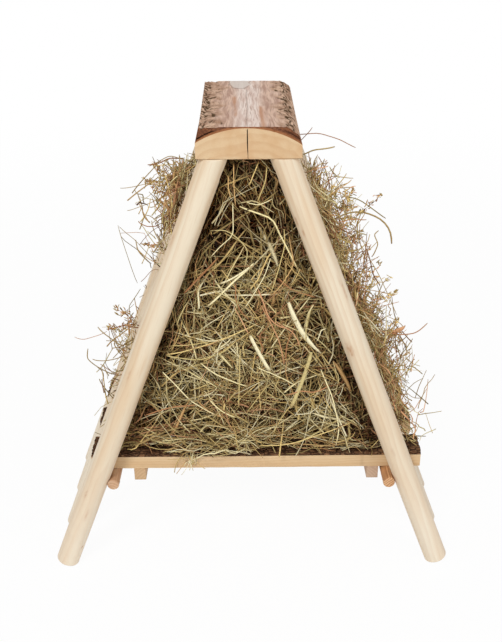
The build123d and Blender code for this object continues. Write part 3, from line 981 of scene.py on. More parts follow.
outer = v > 0.99
values = {
    "flank": flank,
    "pit": np.minimum(pits + 0.9 * scales, 1.5) * smooth(v, 0.9, 1.0),
    "patch": patch * outer,
    "patch_line": patch_line * outer,
    "rust": rust * outer,
    "seam": seam * outer,
    "off_wood": off_wood,
    "cut": np.maximum(at_end * (v < 0.93), at_left * (v < 0.95)),
    "slit": np.minimum(slit + slit_right, 1) * at_end,
}
piece = lay_mesh("ridge_bark_skin", points, [quads], [flat], values, ridge_bark_material, 50.0)
fit(piece, "frame", "bark", "ridge_bark")

# ------------------------------------------------------------------ screws and nails
# Zinc-plated countersunk screws and round wire nails, dull and a little scratched.

steel = Finish(bpy.data.materials.new("dull_zinc"))
spot = steel.node("TexCoord", {}, out="Object")
scratch = steel.noise(spot, (2600.0, 900.0, 1400.0), 3.0)
cloud = steel.noise(spot, (420.0, 420.0, 420.0), 2.0)
zinc = steel.layers(
    paint(176, 174, 166),
    (steel.step(cloud, 0.35, 0.7), paint(202, 201, 196)),
    (steel.step(scratch, 0.6, 0.8) * 0.5, paint(134, 128, 118)),
)
steel_material = steel.surface(zinc, 0.34 + 0.2 * scratch, scratch, relief=0.00005, Metallic=0.9)

FASTENERS = ["leg_screws_left", "leg_screws_right", "rail_nails_left", "rail_nails_right", "tray_nails"]
for fastener in FASTENERS:
    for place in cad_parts[fastener].material_slots:
        place.material = steel_material

# ------------------------------------------------------------------ hay
# One rackful of dried meadow hay: stems, leaves, straw and seed heads pushed in loosely, so
# that it swells out between the rods. It lies on the tray and is pressed under the ridge.

HAY_FOOT = 110.6
HAY_TOP = 371.4
TRAY_RISE = 25.0
HAY_KEEP = (HAY_TOP - HAY_FOOT - TRAY_RISE) / (HAY_TOP - HAY_FOOT)
GAP_PITCH = LEG_Y[1] - LEG_Y[0]

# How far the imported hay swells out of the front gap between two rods, by height. In the gaps
# further back the same swell lies lower.
HAY_HEIGHTS = [
    110, 130, 150, 170, 190, 205, 222, 238, 256, 276, 295, 308, 322, 336, 348, 358, 366, 386,
]
HAY_SWELL = {
    "left": [-20, -18, -14, -11, -9, -7, -8, -18, -24, -14, -8, -2, 6, 11, 12, 9, 4, -20],
    "right": [1, 6, 9, 9, 8, 8, 9, 6, 1, -1, 2, 6, 5, 6, 2, -5, -12, -30],
}

hay = Finish(bpy.data.materials.new("dried_hay"))
along_strand = hay.stored("along")
spot = hay.place()
hay_colours = [
    (0.0, paint(116, 78, 46)),
    (0.1, paint(184, 130, 88)),
    (0.2, paint(240, 186, 140)),
    (0.27, paint(146, 130, 80)),
    (0.38, paint(230, 186, 126)),
    (0.46, paint(170, 150, 96)),
    (0.58, paint(255, 224, 150)),
    (0.66, paint(206, 187, 127)),
    (0.8, paint(255, 240, 182)),
    (1.0, paint(255, 246, 208)),
]
straw = hay.node("ValToRGB", {"stops": hay_colours}, {0: hay.stored("tone")})
fleck = hay.noise(spot, (0.45, 0.45, 0.45), 3.0, 0.6)
straw = hay.mix(hay.step(fleck, 0.5, 0.75) * 0.35, straw, paint(122, 88, 56))
tip = hay.step(along_strand, 0.8, 1.0) * 0.35
straw = hay.mix(tip, straw, paint(176, 138, 92))
# Painted shade, by each strand's stored shade: deep in the hay its own colour is reflected again
# and again, so the colour is multiplied by itself and a brown and grows darker and richer.
shaded = hay.mix(1.0, straw, straw, "MULTIPLY")
shaded = hay.mix(1.0, shaded, paint(128, 106, 60), "MULTIPLY")
straw = hay.mix(hay.stored("shade"), straw, shaded)
vein = hay.noise(spot, (2.2, 2.2, 2.2), 2.0)
hay_material = hay.surface(straw, 0.62, vein, relief=0.0002, strength=0.5, gloss=0.2)

# Painted shade: the packed middle is coloured dark brown, as the deep hay looks in shade.
core_shade = Finish(bpy.data.materials.new("hay_core_painted_shade"))
spot = core_shade.place()
tangle = core_shade.noise(spot, (0.7, 0.7, 0.25), 4.0, 0.7, 1.5)
deep = core_shade.mix(core_shade.step(tangle, 0.4, 0.7), paint(50, 33, 8), paint(84, 61, 18))
shade_core_material = core_shade.surface(deep, 0.9, tangle, relief=0.002, gloss=0.05)


def hay_depth(z):
    """Half depth of the hay along Y at height z: two slopes that meet in a swollen middle."""
    t = (z - HAY_FOOT) / (HAY_TOP - HAY_FOOT)
    return 70.0 - 6.5 * t + 4.5 * 4 * t * (1 - t)


def hay_swell(side_name, y, z):
    """Swell at height z in the gap at y: the front gap's, lowered by 0.28 to 0.66 of the way back."""
    lowered = np.interp(z, [60, 340], [0.66, 0.28]) * (y + GAP_PITCH)
    swell = np.interp(z + lowered, HAY_HEIGHTS, HAY_SWELL[side_name])
    return np.minimum(swell, 0.7 * (z - HAY_FOOT) - 6)


def fit_hay(piece, *nodes):
    """Hay rides on the tray, with a mesh of its own."""
    fit(piece, "tray", "hay", *nodes)
    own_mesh(piece)


# Packed middle: a lumpy block inside the rods, which closes the view through the strands. Its
# dark brown is painted shade, for the deep hay seen through the gaps.
CORE_INSET = 23.0
CORE_FROM_RODS = 13.0
CORE_LEAST = 12.0
places, quads, flat = block_skin(*(np.linspace(0, 1, count) for count in (40, 26, 48)))
z = HAY_FOOT + 1.5 + places[:, 2] * (RIDGE_UNDERSIDE - HAY_FOOT - 2)
half_x = np.maximum(leg_axis_x(z) - HALF_ROD - CORE_FROM_RODS, CORE_LEAST)
half_y = hay_depth(z) - CORE_INSET
across, deep_y = places[:, 0] * 2 - 1, places[:, 1] * 2 - 1
points = gather(across * half_x, deep_y * half_y, z)
lump = ripple(points, (45, 45, 40), 81) * 2.2 + ripple(points, (15, 15, 14), 82, 14) * 1.4
points[:, 0] -= across * smooth(np.abs(across), 0.6, 1) * (2.5 + lump)
points[:, 1] -= deep_y * smooth(np.abs(deep_y), 0.6, 1) * (2.5 + lump)
core = lay_mesh("hay_core", points, [quads], [flat], {}, shade_core_material)
fit_hay(core, "hay")


def strand_paths(dice, centre, heading, normal, length, bow, wave, crack, steps):
    """Middle lines of strands, (strands, steps, 3), all in whole arrays.

    With s from -1/2 to 1/2: centre + s length heading, plus a bow of (1 - 4 s^2) to one side,
    plus a wave sin(2 pi f s + phase), plus a crack where the line turns by a random amount.
    """
    count = len(centre)
    s = np.linspace(-0.5, 0.5, steps)[None, :, None]
    beside = unit(np.cross(heading, normal))
    lift = unit(np.cross(beside, heading))
    spin = dice.uniform(0, 2 * pi, (count, 1))
    to_bow = np.cos(spin) * beside + np.sin(spin) * lift * 0.6
    spin = dice.uniform(0, 2 * pi, (count, 1))
    to_wave = np.cos(spin) * beside + np.sin(spin) * lift
    spin = dice.uniform(0, 2 * pi, (count, 1))
    to_crack = np.cos(spin) * beside + np.sin(spin) * lift * 0.8
    size = length[:, None, None]
    often = dice.uniform(0.6, 2.0, (count, 1, 1))
    phase = dice.uniform(0, 2 * pi, (count, 1, 1))
    turned = np.maximum(s - dice.uniform(-0.3, 0.4, (count, 1, 1)), 0)
    path = centre[:, None] + s * size * heading[:, None]
    path = path + (bow[:, None, None] * size * (1 - 4 * s ** 2)) * to_bow[:, None]
    path = path + (wave[:, None, None] * size * np.sin(2 * pi * often * s + phase)) * to_wave[:, None]
    return path + (crack[:, None, None] * size * turned) * to_crack[:, None]


STRAND_LIMITS = (176, 93)


def rods_clear(path, room):
    """True where a path stays further than room off the rods and rails, and off the ridge and tray.

    It is tried where it lies and where the raised tray takes it. It also stays within the
    limits across and along, and doesn't stand up beside the ridge or in front of a rod.
    """
    clear = np.ones(len(path), bool)
    raised = path.copy()
    raised[..., 2] = HAY_FOOT + (path[..., 2] - HAY_FOOT) * HAY_KEEP + TRAY_RISE
    for where in (path, raised):
        x, y, z = np.moveaxis(where, -1, 0)
        from_axis = (np.abs(x) - leg_axis_x(z)) * cos(LEAN)
        for leg_y in LEG_Y:
            clear &= (np.hypot(from_axis, y - leg_y) > LEG_RADIUS + room[:, None]).all(1)
        rail_gap = np.hypot(np.abs(x) - RAIL_X, z - RAIL_Z)
        clear &= ((rail_gap > RAIL_RADIUS + room[:, None]) | (np.abs(y) > RAIL_HALF + 1)).all(1)
        in_ridge = (np.abs(x) < RIDGE_HALF_WIDTH + 2) & (np.abs(y) < RIDGE_HALF + 2)
        in_ridge &= (z > RIDGE_UNDERSIDE - 0.5) & (z < RIDGE_UNDERSIDE + PLANED_TOP + 4.4)
        clear &= ~in_ridge.any(1)
    x, y, z = np.moveaxis(path, -1, 0)
    in_tray = (np.abs(x - TRAY_SHIFT) < PLANK_HALF + 1) & (np.abs(y) < BATTEN_SIZE[1] + 1)
    in_tray &= (z > BATTEN_UNDERSIDE - 2) & (z < HAY_FOOT - 0.4)
    clear &= ~in_tray.any(1) & (z > 3).all(1) & (np.abs(y) < STRAND_LIMITS[1]).all(1)
    beside_ridge = (np.abs(x) > 34) & (z + (y + GAP_PITCH) * 0.3 > RIDGE_UNDERSIDE - 2)
    before_rod = (np.abs(y) > 84) & (np.abs(x) > leg_axis_x(z) - 14)
    return clear & ~(beside_ridge | before_rod).any(1) & (np.abs(x) < STRAND_LIMITS[0]).all(1)


def strand_mesh(name, path, width, thick, sides, profile, tone, shade, dice, turned=1.0):
    """Closed strands along paths: at each step a flat ring of a few sides, turning slowly.

    A ring's point is its path's plus cos(a) width side + sin(a) thickness up, scaled by
    profile(s). Turned is how freely the flat side turns: at 0 it faces the front. Each strand
    has its own cell on the flat layout, with its length below and its two ends above.
    """
    count, steps = path.shape[:2]
    run = unit(np.gradient(path, axis=1))
    guess = unit(turned * dice.normal(size=(count, 1, 3)) + (1 - turned) * np.array([0.0, 1.0, 0.0]))
    beside = unit(np.cross(run, guess))
    above = np.cross(run, beside)
    s = np.linspace(0, 1, steps)[None, :, None]
    twist = turned * (dice.uniform(0, pi, (count, 1, 1)) + dice.normal(0, 1.1, (count, 1, 1)) * s)
    wide = np.cos(twist) * beside + np.sin(twist) * above
    high = np.cross(run, wide)
    angle = 2 * pi * np.arange(sides) / sides
    scale = profile(s)[..., None]
    ring = path[:, :, None] + scale * (
        np.cos(angle)[:, None] * wide[:, :, None] * width[:, None, None, None]
        + np.sin(angle)[:, None] * high[:, :, None] * thick[:, None, None, None]
    )
    points = ring.reshape(-1, 3)
    start = np.arange(count)[:, None, None] * steps * sides
    row = np.arange(steps - 1)[None, :, None]
    column = np.arange(sides)[None, None, :]
    after = (column + 1) % sides
    here = start + row * sides
    above_here = here + sides
    quads = gather(here + column, here + after, above_here + after, above_here + column)
    first = np.arange(count)[:, None] * steps * sides + np.arange(sides)[::-1]
    last = np.arange(count)[:, None] * steps * sides + (steps - 1) * sides + np.arange(sides)
    grid = int(np.ceil(count ** 0.5))
    cell = gather(np.arange(count) % grid, np.arange(count) // grid)
    u = gather(column, column + 1, column + 1, column) / sides * 0.86 + 0.07
    v = gather(row, row, row + 1, row + 1) / (steps - 1) * 0.74 + 0.06
    quad_flat = gather(u, v) * np.ones((count, 1, 1, 1, 1))
    quad_flat = (cell[:, None, None, None] + quad_flat) / grid
    round_spot = gather(np.cos(angle), np.sin(angle)) * 0.06
    first_flat = (cell[:, None] + np.array([0.3, 0.9]) + round_spot[::-1]) / grid
    last_flat = (cell[:, None] + np.array([0.7, 0.9]) + round_spot) / grid
    values = {
        "tone": np.repeat(tone, steps * sides),
        "shade": np.repeat(shade, steps * sides),
        "along": np.tile(np.repeat(np.linspace(0, 1, steps), sides), count),
    }
    faces = [quads.reshape(-1, 4), first, last]
    layout = [quad_flat.reshape(-1, 2), first_flat, last_flat]
    fit_hay(lay_mesh(name, points, faces, layout, values, hay_material))


def stem_shape(s):
    """A stem keeps its thickness and narrows a little to its tip."""
    return 1 - 0.35 * s ** 2


def straw_shape(s):
    """A cut straw keeps its width to both ends."""
    return np.clip(np.minimum(s, 1 - s) * 12 + 0.7, 0, 1)


def leaf_shape(s):
    """A leaf widens from its foot and runs out to a point."""
    return 0.12 + 0.88 * np.sin(pi * np.clip(0.12 + 0.86 * s, 0, 1)) ** 0.7


# Kinds of strand: least and greatest length, how much it bows, waves and cracks, least and
# greatest half width, thickness over width, sides, and the shape of its outline.
Kind = namedtuple("Kind", "long bow wave crack width flat sides shape")
STEM = Kind((14, 46), 0.07, 0.03, 1.0, (0.3, 0.7), 0.85, 3, stem_shape)
TUFT = Kind((12, 34), 0.07, 0.03, 0.9, (0.3, 0.72), 0.85, 3, stem_shape)
THREAD = Kind((20, 58), 0.11, 0.05, 0.9, (0.26, 0.48), 1.0, 3, stem_shape)
WISP = Kind((12, 36), 0.08, 0.04, 0.8, (0.26, 0.5), 1.0, 3, stem_shape)
LEAF = Kind((14, 38), 0.11, 0.05, 0.8, (0.45, 1.15), 0.16, 4, leaf_shape)
STRAW = Kind((24, 64), 0.05, 0.02, 0.4, (0.45, 0.9), 0.75, 5, stem_shape)
BLADE = Kind((20, 44), 0.08, 0.02, 0.5, (1.2, 2.0), 0.12, 4, leaf_shape)
LAYER = Kind((8, 22), 0.1, 0.0, 0.0, (0.4, 0.8), 0.5, 3, stem_shape)
STALK = Kind((56, 56), 0.0, 0.02, 0.2, (0.26, 0.4), 1.0, 3, stem_shape)
HUSK = Kind((2.2, 5.0), 0.05, 0.0, 0.2, (0.4, 0.75), 0.6, 4, leaf_shape)
LEAST_THICK = 0.13
OFF_RODS = 0.7


def lay_strands(name, kind, count, seed, place, bright, spare=2.2, steps=8, lowest=HAY_FOOT):
    """Strands of one kind, whose places, headings and painted shades come from place().

    It gives spare times as many as count, because those that would cut the rack are left out.
    Bright holds the least and greatest tone.
    """
    dice = np.random.default_rng(seed)
    centre, heading, normal, shade = place(dice, int(count * spare))
    total = len(centre)
    length = dice.uniform(*kind.long, total)
    bow = dice.normal(0, kind.bow, total)
    wave = dice.normal(0, kind.wave, total)
    crack = dice.normal(0, kind.crack, total) * (dice.random(total) < 0.65)
    path = strand_paths(dice, centre, heading, normal, length, bow, wave, crack, steps)
    width = dice.uniform(*kind.width, total)
    fits = rods_clear(path, width + OFF_RODS) & (path[..., 2] > lowest).all(1)
    kept = np.flatnonzero(fits)[:count]
    low, high = bright
    # Painted shade also moves a strand's tone: the more shade, the lower and darker its tone.
    tone = dice.beta(1.15, 1.2, len(kept)) * (high - low) + low + 0.2 * (0.3 - shade[kept])
    tone = np.clip(tone + 0.1 * ripple(centre[kept], (45, 45, 40), 180), 0, 1)
    path, width, shade = path[kept], width[kept], shade[kept]
    thick = np.maximum(width * kind.flat, LEAST_THICK)
    strand_mesh(name, path, width, thick, kind.sides, kind.shape, tone, shade, dice)


HAND_STEPS = 14
HAND_SIDES = 5
HAND_WIDTH = 0.87
HAND_TURN = 0.12


def lay_by_hand(name, shape, strands, lie):
    """Strands laid one by one, flat side to the front.

    Each is its half width, its thickness over its width, its tone, then X and Z along it.
    Their Y is lie(z), and both ends dip 3 mm back into the hay.
    """
    paths = []
    for route in strands:
        corners = np.array(route[-1], float)
        gone = np.concatenate([[0], np.cumsum(np.hypot(*np.diff(corners, axis=0).T))])
        s = np.linspace(0, 1, HAND_STEPS)
        line = gather(*(np.interp(s * gone[-1], gone, corner) for corner in corners.T))
        line[1:-1] = (line[:-2] + 2 * line[1:-1] + line[2:]) / 4
        paths.append(gather(line[:, 0], lie(line[:, 1]) + 3 * (2 * s - 1) ** 4, line[:, 1]))
    width, flat, tone = (np.array([route[value] for route in strands]) for value in range(3))
    dice = np.random.default_rng(171)
    width = HAND_WIDTH * width
    paths, thick, shade = np.array(paths), width * flat, 0 * tone
    strand_mesh(name, paths, width, thick, HAND_SIDES, shape, tone, shade, dice, HAND_TURN)


# Hollows in the front of the hay: X, Z, radius and depth.
HOLLOWS = [
    (-6, 300, 17, 8), (20, 287, 15, 11), (-30, 236, 14, 5), (-68, 196, 20, 10), (-78, 158, 22, 9),
    (66, 226, 18, 10), (80, 178, 20, 9), (38, 158, 22, 11), (44, 122, 20, 10), (-12, 196, 16, 8),
    (4, 322, 14, 9),
]


def end_face(way, buried=20.0):
    """Places on the hay's front (way -1) or rear (way 1): a sloping lumpy sheet between the end rods.

    Strands lie from 0 to buried below its surface, and more of them deep than shallow. The
    sheet sinks in where a slow ripple is high and in the hollows, as a bell of their radius.
    """

    def place(dice, count):
        z = HAY_FOOT + 2 + (HAY_TOP - HAY_FOOT - 4) * (1 - np.sqrt(dice.random(count) * 0.98 + 0.01))
        z = np.where(dice.random(count) < 0.33, dice.uniform(HAY_FOOT + 3, HAY_TOP - 1, count), z)
        deep = buried * dice.random(count) ** 0.62
        half = leg_axis_x(z) + 4 - deep
        x = dice.uniform(-1, 1, count) * half
        sheet = gather(x, 0.0, z)
        lump = ripple(sheet, (60, 1, 55), 90 + way) * 2.6
        pocket = ripple(sheet, (34, 1, 26), 95 + way) + 0.7 * ripple(sheet, (15, 1, 12), 97 + way)
        sunk = 7.0 * smooth(pocket, 0.0, 1.3)
        for hollow_x, hollow_z, radius, depth in HOLLOWS:
            away = np.hypot(x + way * hollow_x, z - hollow_z) / radius
            sunk = sunk + depth * np.exp(-(away ** 2))
        if buried < 10:
            sunk = sunk * 0.25
        sunk = sunk * (1 - 0.6 * smooth(z, 335, 358))
        y = way * (hay_depth(z) + 2.5 + 9 * smooth(z, 300, 345) + lump - sunk - deep)
        centre = gather(x, y, z)
        turn = dice.uniform(0, pi, count)
        low = smooth(200 - z, 0, 80)
        turn = np.where(dice.random(count) < 0.4 * low, dice.normal(0, 0.4, count), turn)
        high = smooth(z, 300, 360)
        turn = np.where(dice.random(count) < 0.6 * high, dice.normal(pi / 2, 0.35, count), turn)
        tilt = dice.normal(0, 0.2, count)
        heading = gather(np.cos(turn) * np.cos(tilt), np.sin(tilt), np.sin(turn) * np.cos(tilt))
        # Painted shade: deep and sunk strands are painted darker, and so is a band below the ridge;
        # near the top and beside a rod less shade is painted.
        band = 0.3 * (smooth(z, 292, 312) - smooth(z, 338, 352))
        shade = np.clip((deep + 0.85 * sunk) / np.interp(z, [220, 300], [18.0, 13.0]) + band, 0, 1)
        shade = shade * (1 - 0.4 * smooth(z, 335, 358))
        shade = shade * (1 - 0.5 * smooth(np.abs(x) - leg_axis_x(z), -12, 0))
        normal = np.broadcast_to([0.0, way, 0.0], centre.shape)
        return centre, heading, normal, shade

    return place


def flank_face(side_name, kind):
    """Places on the hay's left or right flank.

    In a gap it swells out between two rods, as a half round across the gap. Behind a rod it
    is caught by the rod. Loose wisps stand out of the gaps and may cross a rod's outer side.
    """
    side = SIDES[side_name]
    up = np.array([-side * sin(LEAN), 0, cos(LEAN)])
    away = np.array([side * cos(LEAN), 0, sin(LEAN)])

    def place(dice, count):
        z = dice.uniform(HAY_FOOT + 2, HAY_TOP - 1, count)
        turn = dice.uniform(0, pi, count)
        if kind == "behind":
            y = dice.uniform(-66, 66, count)
            deep = dice.random(count)
            x = leg_axis_x(z) - HALF_ROD - 1.5 - 10 * deep
            # Painted shade: strands further in behind the rod are painted darker.
            shade = 0.15 + 0.6 * deep
            out = dice.normal(0, 0.12, count)
        else:
            gap_y = dice.uniform(-14, 14, count)
            y = gap_y + GAP_PITCH * dice.integers(-1, 2, count)
            swell = hay_swell(side_name, y, z)
            outer = leg_axis_x(z) + HALF_ROD + swell * np.sqrt(1 - (gap_y / 17) ** 2)
            inner = leg_axis_x(z) - HALF_ROD - 6
            outer = np.maximum(outer, inner + 4)
            deep = dice.random(count) ** 0.75
            x = outer - (outer - inner) * deep
            # Painted shade grows with depth in the gap, and the right flank is painted lighter than the
            # left.
            shade = np.clip(deep * (outer - inner) / (30 + 10 * side), 0, 1)
            out = dice.normal(0, 0.5, count)
            turn = np.where(dice.random(count) < 0.5, dice.normal(pi / 2, 0.6, count), turn)
        if kind == "loose":
            clump = ripple(gather(0.0, y, z), (1, 16, 15), 85 + side)
            x = outer - 3 + np.minimum(dice.exponential(1, count) * (5.5 + side + 4 * clump), 25)
            # Loose strands get a little painted shade at random.
            shade = 0.25 * dice.random(count)
            out = dice.normal(0.2, 0.7, count)
        centre = gather(side * x, y, z)
        heading = unit(
            np.cos(turn)[:, None] * np.array([0.0, 1.0, 0.0])
            + np.sin(turn)[:, None] * up
            + np.sin(out)[:, None] * away
        )
        return centre, heading, np.broadcast_to(away, centre.shape), shade

    return place


# Where the front gaps' seed heads stand, X and Z. Those further back are strewn.
HEADS = {
    "left": [(-110, 222), (-104, 236)],
    "right": [
        (52, 352), (60, 340), (76, 333), (94, 329), (70, 307), (63, 298), (81, 290), (90, 284),
        (97, 273), (104, 263), (101, 242), (90, 255), (111, 250), (80, 315), (118, 222),
    ],
}


def seed_heads(side_name, husks):
    """Grass heads that stand out of a flank: a stalk each, and husks in a loose tuft at its end."""
    side = SIDES[side_name]
    strewn = 8 if side_name == "left" else 16

    def place(dice, count):
        x, z = np.array(HEADS[side_name], float).T
        y = dice.uniform(-53, -47, len(x))
        far_z = dice.uniform(165, 345, strewn)
        far_y = dice.uniform(-11, 11, strewn) + GAP_PITCH * dice.integers(0, 2, strewn)
        far_x = leg_axis_x(far_z) + HALF_ROD + hay_swell(side_name, far_y, far_z) + 14
        head = np.concatenate([gather(x, y, z), gather(side * far_x, far_y, far_z)])
        heads = len(head)
        out = dice.uniform(0.3, 1.3, heads)
        way = unit(gather(side * out, dice.normal(0, 0.4, heads), dice.normal(0.5, 0.6, heads)))
        if not husks:
            centre, heading = head - 20.0 * way, way
        else:
            one = dice.integers(0, heads, count)
            far = dice.uniform(-9, 9, count)[:, None]
            centre = head[one] + far * way[one] + dice.normal(0, 1, (count, 3)) * (1.9 - far / 9)
            heading = unit(way[one] + dice.normal(0, 0.6, (count, 3)))
        return centre, heading, np.roll(heading, 1, axis=1), np.zeros(len(centre))

    return place


def under_ridge(dice, count):
    """Places pressed flat against the ridge's underside in the gaps, where strands lie level."""
    x = dice.uniform(-35, 35, count)
    y = dice.uniform(-15, 15, count) + GAP_PITCH * dice.integers(-1, 2, count)
    z = RIDGE_UNDERSIDE - 0.9 - 5 * dice.random(count) ** 1.5
    turn = dice.uniform(0, pi, count)
    heading = unit(gather(np.cos(turn), np.sin(turn), dice.normal(0, 0.03, count)))
    normal = np.broadcast_to([0.0, 0.0, 1.0], (count, 3))
    # Strands pressed under the ridge get a painted shade of 0.5.
    return gather(x, y, z), heading, normal, np.full(count, 0.5)


def hanging(dice, count):
    """Places over the edge of the front plank, where single strands hang down in front of it."""
    x = np.concatenate([dice.normal(-57, 5, count // 2), dice.uniform(-90, 95, count - count // 2)])
    z = dice.uniform(99, 112, count)
    centre = gather(x, -dice.uniform(67.5, 70, count), z)
    turn = dice.normal(pi / 2, 0.8, count)
    heading = gather(np.cos(turn), 0.0, np.sin(turn))
    # Hanging strands get a little painted shade.
    return centre, heading, np.broadcast_to([0.0, -1.0, 0.0], centre.shape), np.full(count, 0.1)


# Layers of the front and rear: kind, number of strands, seed, depth in the hay and tones.
FACE_LAYERS = {
    "stems": (STEM, 4000, 101, 20.0, (0.0, 1.0)),
    "leaves": (LEAF, 2000, 111, 20.0, (0.0, 0.9)),
    "threads": (THREAD, 900, 115, 7.0, (0.2, 1.0)),
    "straw": (STRAW, 200, 121, 5.0, (0.35, 0.95)),
    "blades": (BLADE, 20, 125, 4.0, (0.3, 0.9)),
}
for face_name, way in (("front", -1), ("rear", 1)):
    for layer_name, (kind, count, seed, buried, bright) in FACE_LAYERS.items():
        place = end_face(way, buried)
        lay_strands(f"hay_{layer_name}_{face_name}", kind, count, seed + way, place, bright)

# Layers of the flanks: kind, number, how many more on the right than in the middle, seed,
# where they lie and tones.
FLANK_LAYERS = {
    "stems": (TUFT, 2000, 0, 131, "gap", (0.0, 1.0)),
    "leaves": (LEAF, 1100, 0, 141, "gap", (0.0, 0.9)),
    "behind": (LEAF, 1200, 0, 145, "behind", (0.0, 0.9)),
    "loose": (TUFT, 380, 60, 149, "loose", (0.0, 0.75)),
    "wisps": (WISP, 240, 60, 151, "loose", (0.0, 0.8)),
}
for side_name, side in SIDES.items():
    for layer_name, (kind, count, more, seed, where, bright) in FLANK_LAYERS.items():
        place = flank_face(side_name, where)
        name, count = f"hay_{layer_name}_{side_name}", count + more * side
        lay_strands(name, kind, count, seed + side, place, bright)
    stalks, husks = seed_heads(side_name, False), seed_heads(side_name, True)
    lay_strands(f"hay_stalks_{side_name}", STALK, 30, 155 + side, stalks, (0.0, 0.5), spare=1)
    husk_count = 25 * (len(HEADS[side_name]) + 10)
    lay_strands(f"hay_husks_{side_name}", HUSK, husk_count, 155 + side, husks, (0.0, 0.6), steps=4)
lay_strands("hay_top", LAYER, 500, 163, under_ridge, (0.0, 0.9))
lay_strands("hay_hanging", WISP, 14, 161, hanging, (0.2, 1.0), spare=4, lowest=60)


def on_front(z):
    """Y of what lies on top of the front at height z."""
    return -hay_depth(z) - 6.5 - 8 * smooth(z, 300, 345)


def in_gap(y):
    """A level sheet in the middle of the gap at y."""
    return lambda z: y + 0 * z


# Single strands that lie on top of the front.
lay_by_hand(
    "hay_single_front",
    straw_shape,
    [
        (1.9, 0.12, 0.96, [(0, 227), (6, 215), (16, 195)]),
        (1.9, 0.14, 0.68, [(49, 212), (42, 187), (33, 160)]),
        (0.5, 0.8, 0.2, [(-13, 254), (-8, 245), (-1, 229)]),
        (0.6, 0.8, 0.64, [(-8, 215), (-9, 188), (-10, 161)]),
        (0.95, 0.6, 0.88, [(3, 288), (-11, 276), (-33, 253)]),
        (0.8, 0.6, 0.94, [(2, 287), (-12, 278), (-23, 272)]),
        (0.75, 0.7, 0.8, [(-7, 335), (7, 330), (18, 326), (21, 316), (29, 300), (37, 283)]),
        (0.45, 0.9, 0.88, [(-12, 338), (-12, 312), (-23, 302), (-31, 292)]),
        (0.45, 0.9, 0.7, [(-29, 315), (-18, 317), (-8, 309), (-1, 300), (-4, 284)]),
        (0.7, 0.6, 0.6, [(-67, 211), (-55, 214), (-25, 224), (6, 238)]),
        (0.65, 0.6, 0.66, [(-67, 210), (-40, 207), (-21, 214), (-10, 224)]),
        (0.45, 0.8, 0.64, [(-62, 219), (-40, 222), (-12, 228)]),
        (0.6, 0.8, 0.86, [(-71, 195), (-62, 186), (-50, 170), (-28, 153)]),
        (0.65, 0.8, 0.84, [(-40, 203), (-28, 194), (-2, 181)]),
        (0.6, 0.8, 0.8, [(-34, 169), (-24, 159), (-12, 151)]),
        (0.9, 0.4, 0.07, [(-51, 264), (-46, 270), (-36, 281), (-24, 293)]),
        (0.7, 0.6, 0.15, [(6, 268), (11, 256), (14, 245), (21, 237), (32, 233)]),
        (0.6, 0.6, 0.14, [(9, 253), (16, 240), (23, 224), (26, 210), (27, 201)]),
        (0.5, 0.7, 0.16, [(20, 240), (33, 232), (38, 224), (40, 215)]),
        (0.6, 0.6, 0.09, [(-11, 272), (-11, 260), (-8, 251), (-1, 241)]),
        (0.45, 0.8, 0.9, [(16, 292), (11, 278), (-5, 250)]),
        (0.5, 0.8, 0.64, [(26, 316), (27, 304), (22, 284), (16, 263)]),
        (0.5, 0.8, 0.36, [(30, 309), (34, 288), (25, 272), (16, 261)]),
        (0.5, 0.8, 0.94, [(60, 233), (56, 233), (53, 222)]),
        (0.6, 0.7, 0.09, [(22, 276), (33, 267), (42, 264), (51, 260)]),
        (0.6, 0.7, 0.12, [(29, 172), (40, 178), (52, 176), (64, 181)]),
        (0.5, 0.8, 0.86, [(5, 199), (16, 195), (29, 188), (38, 181)]),
        (0.8, 0.4, 0.1, [(-87, 154), (-76, 160), (-61, 164), (-44, 164)]),
        (0.6, 0.8, 0.86, [(57, 196), (67, 172), (74, 141), (72, 121)]),
        (0.5, 0.8, 0.6, [(8, 122), (33, 125), (66, 138), (84, 145)]),
        (0.5, 0.7, 0.4, [(-15, 358), (-15, 349), (-13, 341)]),
        (0.6, 0.7, 0.5, [(13, 365), (12, 355), (6, 339)]),
        (0.5, 0.7, 0.36, [(-11, 367), (-11, 352), (-10, 336)]),
        (0.5, 0.7, 0.6, [(0, 351), (3, 359), (7, 368)]),
        (0.45, 0.7, 0.86, [(-3, 339), (7, 337), (17, 341)]),
    ],
    on_front,
)
lay_by_hand(
    "hay_single_leaf",
    leaf_shape,
    [(2.7, 0.08, 0.97, [(30, 256), (35, 243), (41, 231), (49, 220), (57, 211)])],
    lambda z: -hay_depth(z) - 7.5,
)

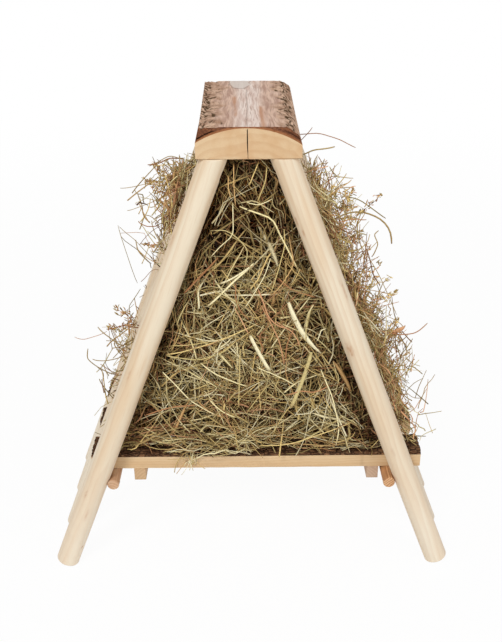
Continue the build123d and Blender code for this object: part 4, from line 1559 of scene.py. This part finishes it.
# Single strands that stand out past the rods, in the front gaps and in the right rear one.
lay_by_hand(
    "hay_single_right",
    straw_shape,
    [
        (
            0.85, 0.5, 0.3,
            [(64, 314), (76, 321), (86, 322), (95, 319), (103, 315), (110, 306), (112, 294)],
        ),
        (0.5, 0.8, 0.27, [(70, 328), (76, 334), (85, 331), (96, 323), (106, 315)]),
        (0.5, 0.8, 0.3, [(101, 305), (97, 303), (101, 295), (97, 283)]),
        (0.5, 0.7, 0.5, [(58, 330), (66, 341), (74, 351)]),
        (0.45, 0.7, 0.36, [(58, 332), (68, 340), (78, 346)]),
        (0.45, 0.7, 0.2, [(42, 352), (50, 356), (60, 357)]),
        (0.5, 0.7, 0.12, [(58, 315), (70, 313), (80, 316), (91, 314)]),
        (0.45, 0.8, 0.86, [(58, 296), (68, 296), (78, 293)]),
        (0.35, 0.9, 0.3, [(86, 296), (102, 271), (113, 248), (120, 232)]),
        (0.55, 0.8, 0.1, [(103, 219), (124, 215), (136, 216), (146, 224)]),
    ],
    in_gap(-52.0),
)
lay_by_hand(
    "hay_single_flake",
    leaf_shape,
    [(3.0, 0.1, 0.17, [(117, 216), (122, 219), (128, 222)])],
    in_gap(-52.0),
)
lay_by_hand(
    "hay_single_left",
    straw_shape,
    [
        (0.6, 0.6, 0.06, [(-76, 359), (-67, 361), (-59, 365), (-48, 364)]),
        (0.4, 0.6, 0.3, [(-75, 358), (-66, 363), (-59, 367), (-50, 364), (-42, 361)]),
        (0.3, 0.9, 0.3, [(-98, 341), (-87, 343), (-70, 347)]),
        (0.3, 0.9, 0.3, [(-94, 323), (-84, 327), (-70, 332)]),
        (0.45, 0.8, 0.08, [(-86, 314), (-79, 311), (-70, 311)]),
        (0.28, 0.9, 0.28, [(-102, 311), (-97, 291), (-90, 262)]),
        (0.3, 0.9, 0.29, [(-101, 310), (-90, 301), (-74, 281)]),
        (0.5, 0.8, 0.3, [(-89, 299), (-87, 290), (-78, 279)]),
        (0.4, 0.8, 0.4, [(-89, 293), (-82, 286), (-72, 279)]),
        (0.35, 0.8, 0.28, [(-88, 257), (-98, 243), (-97, 230)]),
        (0.6, 0.7, 0.05, [(-118, 221), (-103, 226), (-88, 222)]),
        (0.3, 0.9, 0.12, [(-145, 214), (-137, 213), (-118, 219)]),
        (0.6, 0.8, 0.3, [(-125, 223), (-117, 216), (-105, 205)]),
        (0.55, 0.8, 0.26, [(-135, 203), (-136, 195), (-129, 188), (-114, 178)]),
        (0.5, 0.8, 0.3, [(-132, 193), (-120, 193), (-106, 196)]),
        (0.5, 0.8, 0.28, [(-128, 174), (-123, 166), (-116, 154)]),
    ],
    in_gap(-52.0),
)
lay_by_hand(
    "hay_single_rear",
    straw_shape,
    [
        (0.45, 0.9, 0.1, [(42, 356), (60, 358), (79, 352), (93, 344)]),
        (0.75, 0.5, 0.5, [(42, 336), (56, 343), (66, 344), (75, 345)]),
        (0.4, 0.9, 0.06, [(44, 350), (55, 362)]),
    ],
    in_gap(50.0),
)
